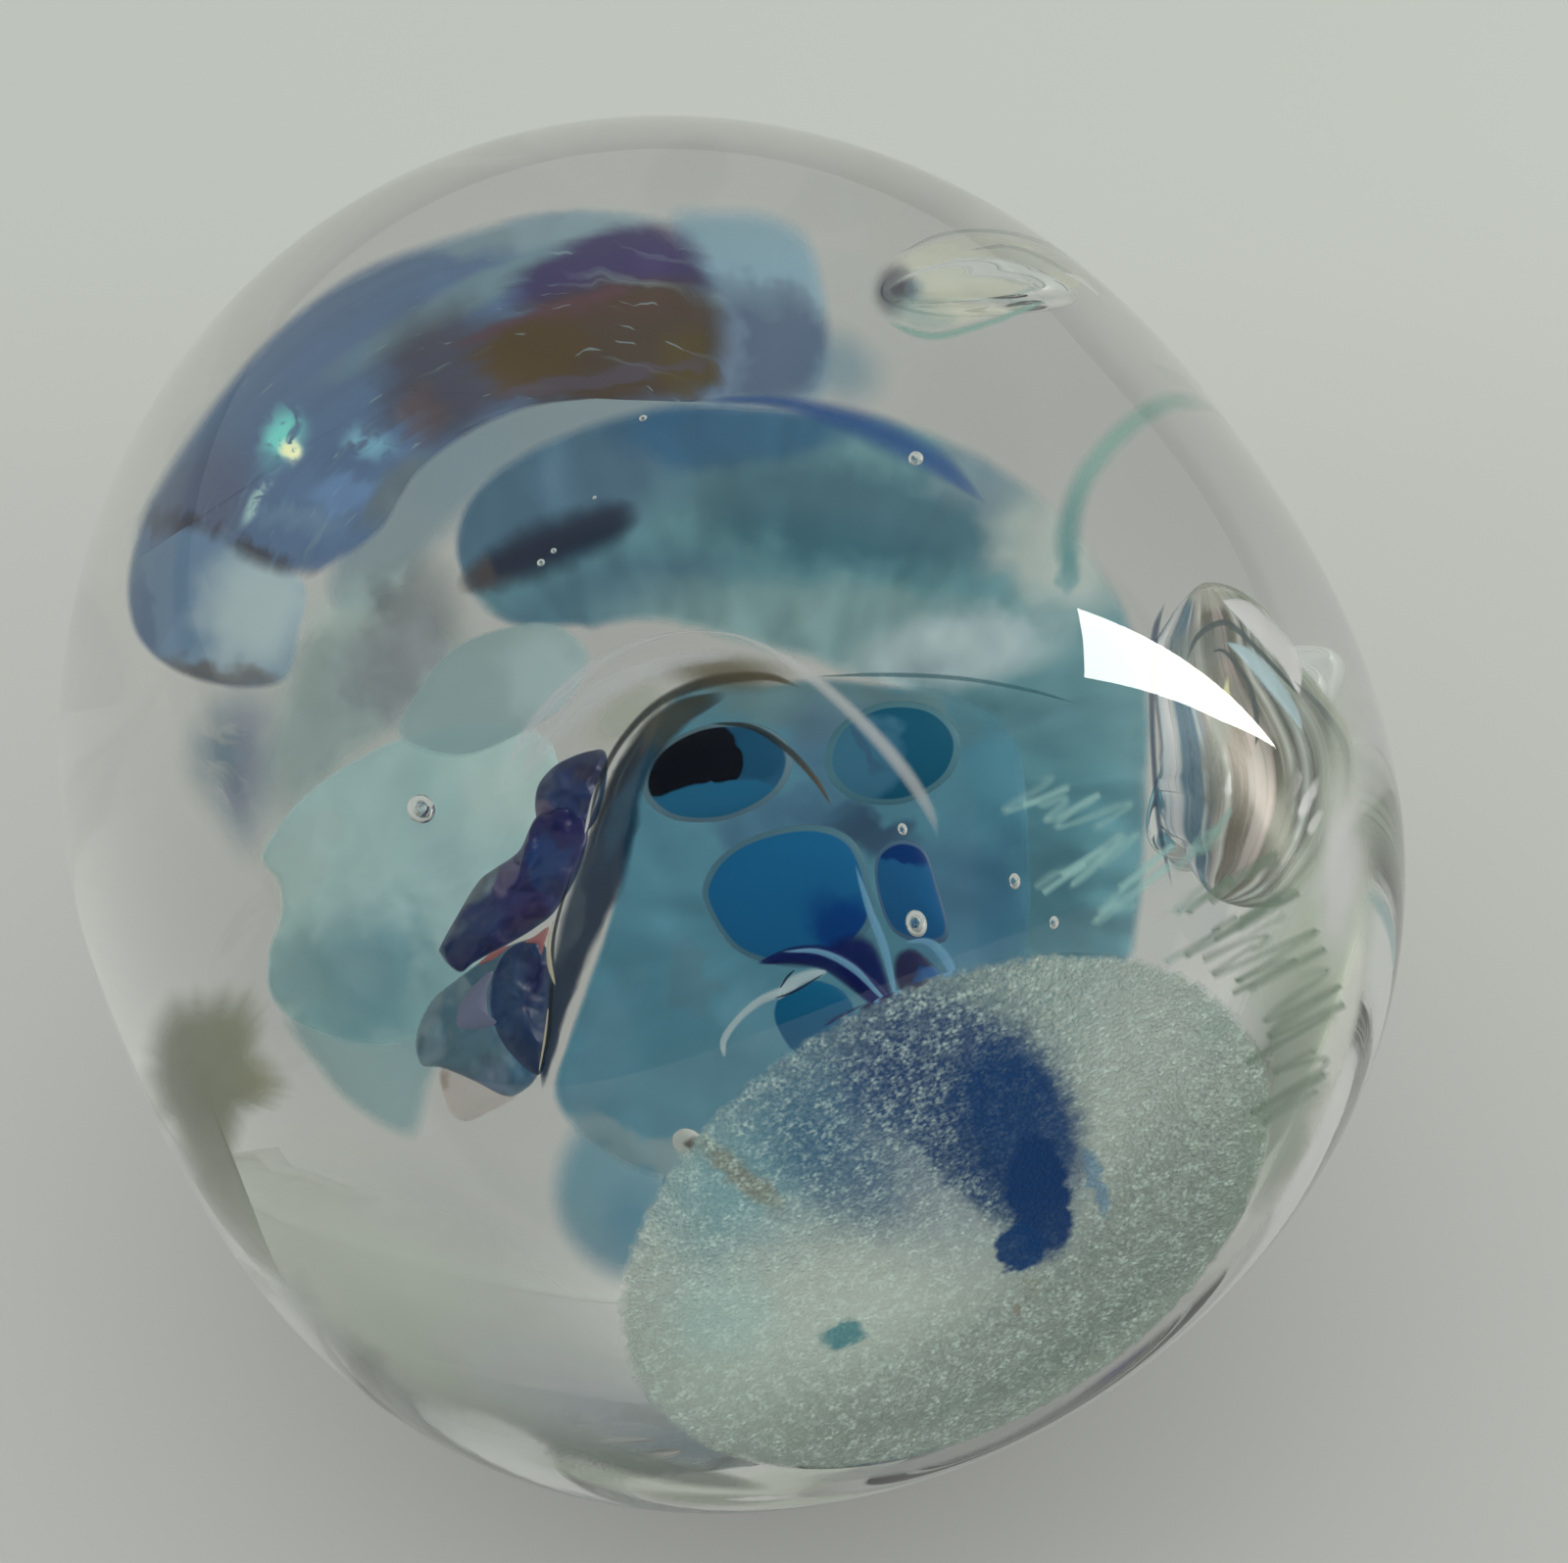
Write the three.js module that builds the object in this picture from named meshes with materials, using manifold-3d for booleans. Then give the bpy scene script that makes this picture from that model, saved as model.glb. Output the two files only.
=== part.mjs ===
// A solid studio-glass paperweight, lying on its side.
// It is one piece: a rounded, slightly tall glass body with a flat ground face at its base end.
// Millimetres, +Z up. The body's own axis runs along Y: the ground face looks to -Y and the crown to +Y.
// The origin is under the middle of the body, on the surface that it lies on.

import * as THREE from "three";
import { mergeVertices } from "three/addons/utils/BufferGeometryUtils.js";
import Module from "manifold-3d";

const wasm = await Module();
wasm.setup();

// Driving sizes of the glass body.
const bodyDiameter = 76;
const crownLength = 44; // from the widest ring to the top of the crown
const shoulderLength = 38.6; // from the widest ring to the ground face
const groundFaceDiameter = 36.2; // where the ground face meets the polished wall
const shoulderFullness = 2.85; // exponent of the shoulder's outline: 2 is an ellipse, more is squarer
const edgeBreak = 0.4; // the small chamfer round the ground face

// The small flat spot on the underside that keeps the body from rolling.
const restSpotWidth = 12;

// How finely the round surfaces are faceted.
const stepsAround = 96;
const crownSteps = 20;
const shoulderSteps = 16;

const bodyRadius = bodyDiameter / 2;
const groundFaceRadius = groundFaceDiameter / 2;
const overallLength = crownLength + shoulderLength;
const widestRingY = overallLength / 2 - crownLength;
const restSpotDepth = bodyRadius - Math.sqrt(bodyRadius ** 2 - (restSpotWidth / 2) ** 2);
const axisHeight = bodyRadius - restSpotDepth;

// Radius of the crown's elliptical outline, at a distance from the widest ring.
function crownRadius(distance) {
  return bodyRadius * Math.sqrt(Math.max(0, 1 - (distance / crownLength) ** 2));
}

// Radius of the shoulder's fuller outline. It narrows to the ground face's radius at the ground face.
function shoulderRadius(distance) {
  const faceShare = 1 - (groundFaceRadius / bodyRadius) ** shoulderFullness;
  const narrowing = (distance / shoulderLength) ** shoulderFullness * faceShare;
  return bodyRadius * (1 - narrowing) ** (1 / shoulderFullness);
}

// The half outline from the middle of the ground face to the top of the crown, as radius and place along Y.
function bodyOutline() {
  const points = [new THREE.Vector2(0, -shoulderLength)];
  points.push(new THREE.Vector2(shoulderRadius(shoulderLength) - edgeBreak, -shoulderLength));
  const chamferEnd = shoulderLength - edgeBreak;
  for (let i = shoulderSteps; i >= 1; i--) {
    const distance = chamferEnd * Math.sin((Math.PI / 2) * (i / shoulderSteps));
    points.push(new THREE.Vector2(shoulderRadius(distance), -distance));
  }
  for (let i = 0; i < crownSteps; i++) {
    const distance = crownLength * Math.sin((Math.PI / 2) * (i / crownSteps));
    points.push(new THREE.Vector2(crownRadius(distance), distance));
  }
  points.push(new THREE.Vector2(0, crownLength));
  return points;
}

// A closed three.js geometry as a solid that can be cut.
function toSolid(geometry) {
  const bare = geometry.clone();
  bare.deleteAttribute("normal");
  bare.deleteAttribute("uv");
  const merged = mergeVertices(bare, 1e-4);
  return new wasm.Manifold(
    new wasm.Mesh({
      numProp: 3,
      vertProperties: new Float32Array(merged.attributes.position.array),
      triVerts: new Uint32Array(merged.index.array),
    }),
  );
}

// A solid as a three.js geometry.
function toGeometry(solid) {
  const mesh = solid.getMesh();
  const geometry = new THREE.BufferGeometry();
  geometry.setAttribute("position", new THREE.BufferAttribute(mesh.vertProperties, 3));
  geometry.setIndex(new THREE.BufferAttribute(mesh.triVerts, 1));
  geometry.computeVertexNormals();
  return geometry;
}

// The glass body: the turned outline, with the small flat spot cut on its underside.
function glassBody() {
  const turned = new THREE.LatheGeometry(bodyOutline(), stepsAround);
  turned.translate(0, widestRingY, axisHeight);
  const cutterSize = 2 * overallLength;
  const cutter = new THREE.BoxGeometry(cutterSize, cutterSize, cutterSize);
  cutter.translate(0, 0, -cutterSize / 2);
  const cut = toSolid(turned).subtract(toSolid(cutter));
  const clearGlass = new THREE.MeshStandardMaterial({ color: 0xcfdcd4, roughness: 0.02, metalness: 0 });
  const mesh = new THREE.Mesh(toGeometry(cut), clearGlass);
  mesh.name = "glass_body";
  return mesh;
}

const paperweight = new THREE.Group();
paperweight.name = "glass_paperweight";
paperweight.add(glassBody());

export default paperweight;
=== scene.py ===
"""A solid studio-glass paperweight lying on its side, with coloured glass, foil and air sealed in it.

The body is turned round the Y axis and lies on a small flat spot, with its ground base facing -Y. What is
sealed in it is laid out along the camera's lines of sight, bent at the wall as glass bends them.
Metres, +Z up.
"""

import logging
import math
from collections.abc import Mapping, Sequence
from dataclasses import dataclass, field
from enum import Enum

import bpy
import numpy as np
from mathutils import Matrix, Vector, noise


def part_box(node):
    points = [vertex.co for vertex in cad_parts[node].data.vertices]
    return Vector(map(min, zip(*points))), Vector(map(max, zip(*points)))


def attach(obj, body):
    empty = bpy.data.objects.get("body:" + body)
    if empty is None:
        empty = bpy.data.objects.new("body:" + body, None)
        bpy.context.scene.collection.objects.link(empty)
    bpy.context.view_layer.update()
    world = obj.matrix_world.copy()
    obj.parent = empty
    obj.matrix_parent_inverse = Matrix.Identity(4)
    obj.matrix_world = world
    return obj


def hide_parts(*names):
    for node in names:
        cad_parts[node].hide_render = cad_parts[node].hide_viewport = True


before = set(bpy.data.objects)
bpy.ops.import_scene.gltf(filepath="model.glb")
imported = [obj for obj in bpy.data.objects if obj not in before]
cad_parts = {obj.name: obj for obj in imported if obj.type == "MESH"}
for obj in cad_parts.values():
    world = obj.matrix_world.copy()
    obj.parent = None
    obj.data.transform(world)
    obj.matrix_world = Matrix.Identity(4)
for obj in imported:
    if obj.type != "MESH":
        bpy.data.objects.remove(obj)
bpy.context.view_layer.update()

LOG = logging.getLogger("paperweight")
MM = 0.001
NODE = "glass_body"
BODY = "root"
LAY = "lay"
SEEN = "seen"
STUDIO_LIGHT = 0.5
WALL_CLEARANCE = 0.35 * MM
SEARCH_STEPS = 48
HALVING_STEPS = 44
OVAL_POINTS = 8
Colour = tuple[float, float, float]
Pixel = tuple[float, float]


def srgb(red: float, green: float, blue: float) -> Colour:
    """A colour as a painter would name it, in 0 to 255.

    Args:
        red: The red share.
        green: The green share.
        blue: The blue share.

    Returns:
        The same colour as linear light.
    """
    def linear(share: float) -> float:
        """One share as linear light."""
        s = share / 255
        return s / 12.92 if s <= 0.04045 else ((s + 0.055) / 1.055) ** 2.4

    return linear(red), linear(green), linear(blue)


def lit(red: float, green: float, blue: float) -> Colour:
    """The glass colour that looks like a given colour in the studio's light.

    Args:
        red: The red share of the look, in 0 to 255.
        green: The green share.
        blue: The blue share.

    Returns:
        The glass's own colour, as linear light.
    """
    return tuple(min(0.95, share / STUDIO_LIGHT) for share in srgb(red, green, blue))


class Slot(Enum):
    """The material slots that the sealed pieces name."""

    CLEAR = "clear_glass"
    GROUND = "ground_glass"
    TURQUOISE = "pale_turquoise_glass"
    BLUE = "deep_blue_glass"
    FOIL = "iridescent_foil"
    AIR = "bubble"


@dataclass(frozen=True)
class Touch:
    """A spot of another colour, placed in the picture, in pixels and degrees clockwise."""

    at: Pixel
    size: Pixel
    colour: Colour
    tilt: float = 0.0
    share: float = 1.0
    soft: float = 0.7
    clear: float = 0.0


def dabs(*rows: Sequence[float | Sequence[int]]) -> tuple[Touch, ...]:
    """Touches, from one row each.

    Args:
        rows: Each row's place across and down, half width and half height, all in pixels, how it looks in
            the studio's light, and then any of its tilt, share, softness and clearness.

    Returns:
        The touches.
    """
    return tuple(Touch((u, v), (width, height), lit(*look), *rest)
                 for u, v, width, height, look, *rest in rows)


class Val:
    """A number socket of a shader, with Python's operators."""

    def __init__(self, tree: "Tree", socket: bpy.types.NodeSocket) -> None:
        """Wraps one socket of a tree."""
        self.tree = tree
        self.socket = socket

    def math(self, operation: str, *others: "Val | float") -> "Val":
        """A Math node on this value.

        Args:
            operation: The Math node's operation.
            others: The node's further inputs.

        Returns:
            The node's result.
        """
        sockets = dict(enumerate((self, *others)))
        return self.tree.node("ShaderNodeMath", {"operation": operation}, sockets)

    def __add__(self, other: "Val | float") -> "Val":
        """The sum."""
        return self.math("ADD", other)

    __radd__ = __add__

    def __mul__(self, other: "Val | float") -> "Val":
        """The product."""
        return self.math("MULTIPLY", other)

    __rmul__ = __mul__

    def __sub__(self, other: "Val | float") -> "Val":
        """The difference."""
        return self.math("SUBTRACT", other)

    def __rsub__(self, other: float) -> "Val":
        """The difference from a plain number."""
        return self.math("MULTIPLY", -1.0).math("ADD", other)

    def __truediv__(self, other: "Val | float") -> "Val":
        """The quotient."""
        return self.math("DIVIDE", other)

    def __pow__(self, other: "Val | float") -> "Val":
        """The power."""
        return self.math("POWER", other)

    def clamp(self) -> "Val":
        """This value kept between 0 and 1."""
        return self.tree.node("ShaderNodeClamp", {}, {0: self})

    def step(self, low: float, high: float) -> "Val":
        """A smooth step.

        Args:
            low: The value at which the step is 0.
            high: The value at which the step is 1. It may be below low.

        Returns:
            The step, between 0 and 1.
        """
        settings = {"interpolation_type": "SMOOTHSTEP"}
        if low < high:
            return self.tree.node("ShaderNodeMapRange", settings, {0: self, 1: low, 2: high, 3: 0.0, 4: 1.0})
        return self.tree.node("ShaderNodeMapRange", settings, {0: self, 1: high, 2: low, 3: 1.0, 4: 0.0})


class Tree:
    """The node tree of one material."""

    def __init__(self, name: str) -> None:
        """Starts an empty material of that name."""
        self.material = bpy.data.materials.new(name)
        self.material.use_nodes = True
        self.nodes = self.material.node_tree.nodes
        self.links = self.material.node_tree.links
        self.nodes.clear()

    def node(self, kind: str, settings: Mapping | None = None, sockets: Mapping | None = None,
             out: int | str = 0) -> Val:
        """Adds one node.

        Args:
            kind: The node's type.
            settings: Its properties, and under "stops" the places and colours of a ramp.
            sockets: Its inputs by name or number, each a value or another node's result.
            out: The output that is wanted.

        Returns:
            That output.
        """
        made = self.nodes.new(kind)
        for key, value in (settings or {}).items():
            if key == "stops":
                self._stops(made.color_ramp, value)
            else:
                setattr(made, key, value)
        for key, value in (sockets or {}).items():
            socket = made.inputs[key]
            if isinstance(value, Val):
                self.links.new(value.socket, socket)
            elif socket.type == "RGBA" and len(value) == 3:
                socket.default_value = (*value, 1.0)
            else:
                socket.default_value = value
        return Val(self, made.outputs[out])

    @staticmethod
    def _stops(ramp: bpy.types.ColorRamp, stops: Sequence[tuple[float, Colour]]) -> None:
        """Sets a ramp's stops."""
        while len(ramp.elements) < len(stops):
            ramp.elements.new(1.0)
        for element, (place, colour) in zip(ramp.elements, stops):
            element.position = place
            element.color = (*colour, 1.0)

    def place(self) -> Val:
        """Object coordinates, in metres."""
        return self.node("ShaderNodeTexCoord", out="Object")

    def kept(self, name: str) -> Val:
        """What a mesh keeps under a name for each of its vertices."""
        return self.node("ShaderNodeAttribute", {"attribute_name": name}, out="Vector")

    def parts(self, whole: Val, axes: str) -> list[Val]:
        """A vector's parts along some of the axes."""
        return [self.node("ShaderNodeSeparateXYZ", {}, {0: whole}, out=axis) for axis in axes]

    def lay(self) -> list[Val]:
        """Where a point is on its piece: along, across and through it, each from -1 to 1."""
        return self.parts(self.kept(LAY), "XYZ")

    def seen(self, sway: float = 12.0) -> Val:
        """Where a point of a sealed piece stands in the picture.

        Args:
            sway: How far the places are swayed, in pixels, for natural edges.

        Returns:
            The place, in thousands of pixels.
        """
        place = self.kept(SEEN)
        level = (self.noise(place, 0.04, 2.0) - 0.5) * (sway * 0.005)
        moved = self.node("ShaderNodeCombineXYZ", {}, {0: level, 1: level * -0.8, 2: 0.0})
        return self.vector("ADD", place, moved)

    def vector(self, operation: str, first: Val, second: "Val | Colour") -> Val:
        """A Vector Math node with two inputs."""
        return self.node("ShaderNodeVectorMath", {"operation": operation}, {0: first, 1: second})

    def spot(self, seen: Val, touch: "Touch") -> Val:
        """How much of a touch of colour shows at a place in the picture.

        Args:
            seen: The place, in thousands of pixels.
            touch: The touch.

        Returns:
            Its share, from 0 to 1.
        """
        at = (touch.at[0] / 1000, touch.at[1] / 1000, 0.0)
        size = (touch.size[0] / 1000, touch.size[1] / 1000, 1.0)
        turn = (0.0, 0.0, math.radians(touch.tilt))
        moved = self.node("ShaderNodeMapping", {"vector_type": "TEXTURE"}, {0: seen, 1: at, 2: turn, 3: size})
        out = self.node("ShaderNodeVectorMath", {"operation": "LENGTH"}, {0: moved}, out="Value")
        return out.step(1 + touch.soft / 2, 1 - touch.soft / 2) * touch.share

    def noise(self, where: Val, size: float, detail: float = 3.0, warp: float = 0.0,
              stretch: Colour = (1.0, 1.0, 1.0)) -> Val:
        """Cloudy noise.

        Args:
            where: The coordinates that it follows.
            size: How large its clouds are, in those coordinates' units.
            detail: How many finer layers it has.
            warp: How strongly it is swirled.
            stretch: How much denser it is along each axis.

        Returns:
            The noise, from 0 to 1 round 0.5.
        """
        moved = self.node("ShaderNodeMapping", {}, {0: where, 3: stretch})
        sockets = {"Vector": moved, "Scale": 1.0 / size, "Detail": detail, "Distortion": warp}
        return self.node("ShaderNodeTexNoise", {}, sockets)

    def mix(self, share: Val | float, first: Val | Colour, second: Val | Colour) -> Val:
        """A mix of two colours.

        Args:
            share: How much of the second shows.
            first: The first colour.
            second: The second colour.

        Returns:
            The mixed colour.
        """
        return self.node("ShaderNodeMix", {"data_type": "RGBA"}, {0: share, 6: first, 7: second}, out=2)

    def bump(self, height: Val, distance: float, strength: float = 1.0) -> Val:
        """A bumped normal.

        Args:
            height: The height, from 0 to 1.
            distance: How high 1 is, in metres.
            strength: How much of it shows.

        Returns:
            The normal.
        """
        return self.node("ShaderNodeBump", {}, {"Height": height, "Distance": distance, "Strength": strength})

    def shader(self, sockets: Mapping) -> Val:
        """A Principled shader with those sockets."""
        return self.node("ShaderNodeBsdfPrincipled", {}, sockets)

    def done(self, surface: Val) -> bpy.types.Material:
        """Puts the surface on the material's output and returns the material."""
        output = self.nodes.new("ShaderNodeOutputMaterial")
        self.links.new(surface.socket, output.inputs["Surface"])
        return self.material


@dataclass(frozen=True)
class BodyForm:
    """The turned outline of the glass body, as the frame gives it."""

    crown_length: float = 44 * MM
    ground_face_radius: float = 18.1 * MM
    shoulder_fullness: float = 2.85
    edge_break: float = 0.4 * MM
    refraction: float = 1.5
    radius: float = field(init=False)
    axis_height: float = field(init=False)
    ring_y: float = field(init=False)
    face_y: float = field(init=False)

    def __post_init__(self) -> None:
        """Takes the remaining sizes from the CAD node."""
        low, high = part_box(NODE)
        object.__setattr__(self, "radius", (high.x - low.x) / 2)
        object.__setattr__(self, "axis_height", high.z - self.radius)
        object.__setattr__(self, "ring_y", high.y - self.crown_length)
        object.__setattr__(self, "face_y", low.y)

    @property
    def shoulder_length(self) -> float:
        """From the widest ring to the ground face."""
        return self.ring_y - self.face_y

    @property
    def ring(self) -> Vector:
        """The centre of the widest ring."""
        return Vector((0, self.ring_y, self.axis_height))

    @property
    def face_share(self) -> float:
        """How far the shoulder's outline has narrowed at the ground face."""
        return 1 - (self.ground_face_radius / self.radius) ** self.shoulder_fullness

    def outline_radius(self, y: float) -> float:
        """The outline's radius at a place along Y."""
        along = y - self.ring_y
        if along > 0:
            return self.radius * math.sqrt(max(0.0, 1 - (along / self.crown_length) ** 2))
        narrowing = (-along / self.shoulder_length) ** self.shoulder_fullness * self.face_share
        return self.radius * (1 - narrowing) ** (1 / self.shoulder_fullness)

    def level(self, points: np.ndarray) -> np.ndarray:
        """How far points are from the round wall: below 0 inside, above 0 outside.

        Args:
            points: One row a point, in metres.

        Returns:
            One number a point.
        """
        along = points[:, 1] - self.ring_y
        out = np.hypot(points[:, 0], points[:, 2] - self.axis_height) / self.radius
        crown = out**2 + (along / self.crown_length) ** 2
        full = self.shoulder_fullness
        shoulder = out**full + self.face_share * (np.abs(along) / self.shoulder_length) ** full
        return np.where(along > 0, crown, shoulder) - 1

    def wall_normal(self, points: np.ndarray) -> np.ndarray:
        """The wall's outward normal at points on it, one row a point."""
        reach = 0.01 * MM
        slope = [self.level(points + reach * axis) - self.level(points - reach * axis) for axis in np.eye(3)]
        normal = np.stack(slope, axis=1)
        return normal / np.linalg.norm(normal, axis=1, keepdims=True)


@dataclass(frozen=True)
class Portrait:
    """The camera's place, which is the photograph's."""

    azimuth: float = math.radians(-20.2)
    elevation: float = math.radians(42.5)
    distance: float = 300 * MM
    aim_right: float = 4.8 * MM
    focal_px: float = 5091.0
    width_px: float = 1600.0
    height_px: float = 1595.0

    def stand(self, form: BodyForm) -> tuple[Vector, Vector, Vector, Vector]:
        """Where the camera stands.

        Args:
            form: The body that it looks at.

        Returns:
            The camera's place and its unit vectors to the right, up and backwards.
        """
        a, e = self.azimuth, self.elevation
        towards = Vector((math.sin(a) * math.cos(e), -math.cos(a) * math.cos(e), math.sin(e)))
        side = Vector((math.cos(a), math.sin(a), 0))
        place = form.ring + towards * self.distance
        back = (place - (form.ring + side * self.aim_right)).normalized()
        right = Vector((0, 0, 1)).cross(back).normalized()
        return place, right, back.cross(right), back

    def build(self, form: BodyForm) -> bpy.types.Object:
        """Makes the scene's camera."""
        place, _, _, back = self.stand(form)
        data = bpy.data.cameras.new("portrait")
        data.sensor_width = 36.0
        data.lens = self.focal_px / self.width_px * data.sensor_width
        data.clip_start, data.clip_end = 0.01, 20.0
        camera = bpy.data.objects.new("portrait", data)
        camera.location = place
        camera.rotation_euler = back.to_track_quat("Z", "Y").to_euler()
        bpy.context.collection.objects.link(camera)
        bpy.context.scene.camera = camera
        return camera


class Sightlines:
    """Lines of sight from the camera through the picture, bent where they enter the glass."""

    def __init__(self, portrait: Portrait, form: BodyForm) -> None:
        """Takes the camera and the body."""
        self.portrait = portrait
        self.form = form
        self.span = 4 * form.radius

    def _lowest(self, start: np.ndarray, way: np.ndarray, near: np.ndarray, far: np.ndarray) -> np.ndarray:
        """Where each line is deepest in the body, by golden section."""
        gold = (math.sqrt(5) - 1) / 2
        near, far = near.copy(), far.copy()
        for _ in range(SEARCH_STEPS):
            a = far - gold * (far - near)
            b = near + gold * (far - near)
            nearer = self.form.level(start + a[:, None] * way) < self.form.level(start + b[:, None] * way)
            far = np.where(nearer, b, far)
            near = np.where(nearer, near, a)
        return (near + far) / 2

    def _crossing(self, start: np.ndarray, way: np.ndarray, inside: np.ndarray,
                  outside: np.ndarray) -> np.ndarray:
        """Where each line crosses the wall, by bisection."""
        inside, outside = inside.copy(), outside.copy()
        for _ in range(HALVING_STEPS):
            middle = (inside + outside) / 2
            within = self.form.level(start + middle[:, None] * way) < 0
            inside = np.where(within, middle, inside)
            outside = np.where(within, outside, middle)
        return (inside + outside) / 2

    def _look(self, u: np.ndarray, v: np.ndarray) -> tuple[np.ndarray, np.ndarray]:
        """Lines of sight through places in the picture: a point on each, short of the body, and its way."""
        portrait = self.portrait
        place, right, up, back = (np.array(vector) for vector in portrait.stand(self.form))
        way = (right * (u - portrait.width_px / 2)[:, None] - up * (v - portrait.height_px / 2)[:, None]
               - back * portrait.focal_px)
        way /= np.linalg.norm(way, axis=1, keepdims=True)
        return place + way * (portrait.distance - self.span / 2), way

    def enter(self, u: np.ndarray, v: np.ndarray) -> tuple[np.ndarray, np.ndarray, np.ndarray, np.ndarray]:
        """Follows lines of sight into the glass, as if the round wall went on over the ground face.

        Args:
            u: Places across the picture, in its pixels.
            v: Places down the picture.

        Returns:
            Where each line enters, the wall's normal there, its way inside and how long it stays inside.
        """
        form = self.form
        start, way = self._look(u, v)
        zero = np.zeros(len(u))
        deepest = self._lowest(start, way, zero, zero + self.span)
        entry = start + self._crossing(start, way, deepest, zero)[:, None] * way
        normal = form.wall_normal(entry)
        cosine = np.maximum(1e-3, -np.sum(way * normal, axis=1))
        ratio = 1 / form.refraction
        inner = np.sqrt(1 - ratio**2 * (1 - cosine**2))
        bent = ratio * way + (ratio * cosine - inner)[:, None] * normal
        deepest = self._lowest(entry, bent, zero, zero + self.span)
        length = self._crossing(entry, bent, deepest, zero + self.span)
        for axis, plane in ((1, form.face_y), (2, 0.0)):
            fall = bent[:, axis]
            reach = np.where(fall < -1e-6, (plane - entry[:, axis]) / np.minimum(fall, -1e-6), 1.0)
            length = np.minimum(length, np.maximum(reach, 0.0))
        return entry, normal, bent, length

    def place(self, u: np.ndarray, v: np.ndarray, depth: np.ndarray, push: np.ndarray) -> np.ndarray:
        """Points inside the glass.

        Args:
            u: Places across the picture, in its pixels.
            v: Places down the picture.
            depth: How far along its line each point is, from 0 at the near wall to 1 at the far one.
            push: A further distance along it, in metres.

        Returns:
            One row a point, in metres.
        """
        entry, _, bent, length = self.enter(u, v)
        clear = WALL_CLEARANCE
        to_face = (self.form.face_y + clear - entry[:, 1]) / np.maximum(bent[:, 1], 0.05)
        near = np.maximum(clear, to_face)
        along = np.clip(depth * length + push, near, np.maximum(near, length - clear))
        return entry + along[:, None] * bent

    def on_face(self, u: np.ndarray, v: np.ndarray) -> np.ndarray:
        """Where lines of sight meet the plane of the ground face, one row a point."""
        start, way = self._look(u, v)
        return start + ((self.form.face_y - start[:, 1]) / way[:, 1])[:, None] * way

    def wall(self, u: np.ndarray, v: np.ndarray, lift: np.ndarray) -> np.ndarray:
        """Points on the wall that the camera sees, lifted off it by a distance in metres."""
        entry, normal, _, _ = self.enter(u, v)
        points = entry + lift[:, None] * normal
        points[:, 1] = np.maximum(points[:, 1], self.form.face_y)
        return points


def deselect() -> None:
    """Leaves edit mode and deselects everything."""
    if bpy.context.object and bpy.context.object.mode != "OBJECT":
        bpy.ops.object.mode_set(mode="OBJECT")
    bpy.ops.object.select_all(action="DESELECT")


def seat(piece: bpy.types.Object, name: str, material: bpy.types.Material) -> bpy.types.Object:
    """Names a finished piece, dresses it and lets it ride on the body. Glass casts no hard shadow.

    Args:
        piece: The piece, with its place in its mesh.
        name: Its name.
        material: Its finish.

    Returns:
        The piece.
    """
    piece.name = piece.data.name = name
    piece.data.materials.clear()
    piece.data.materials.append(material)
    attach(piece, BODY)
    piece.visible_shadow = False
    LOG.info("%s: %d faces, %s", name, len(piece.data.polygons), material.name)
    return piece


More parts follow.
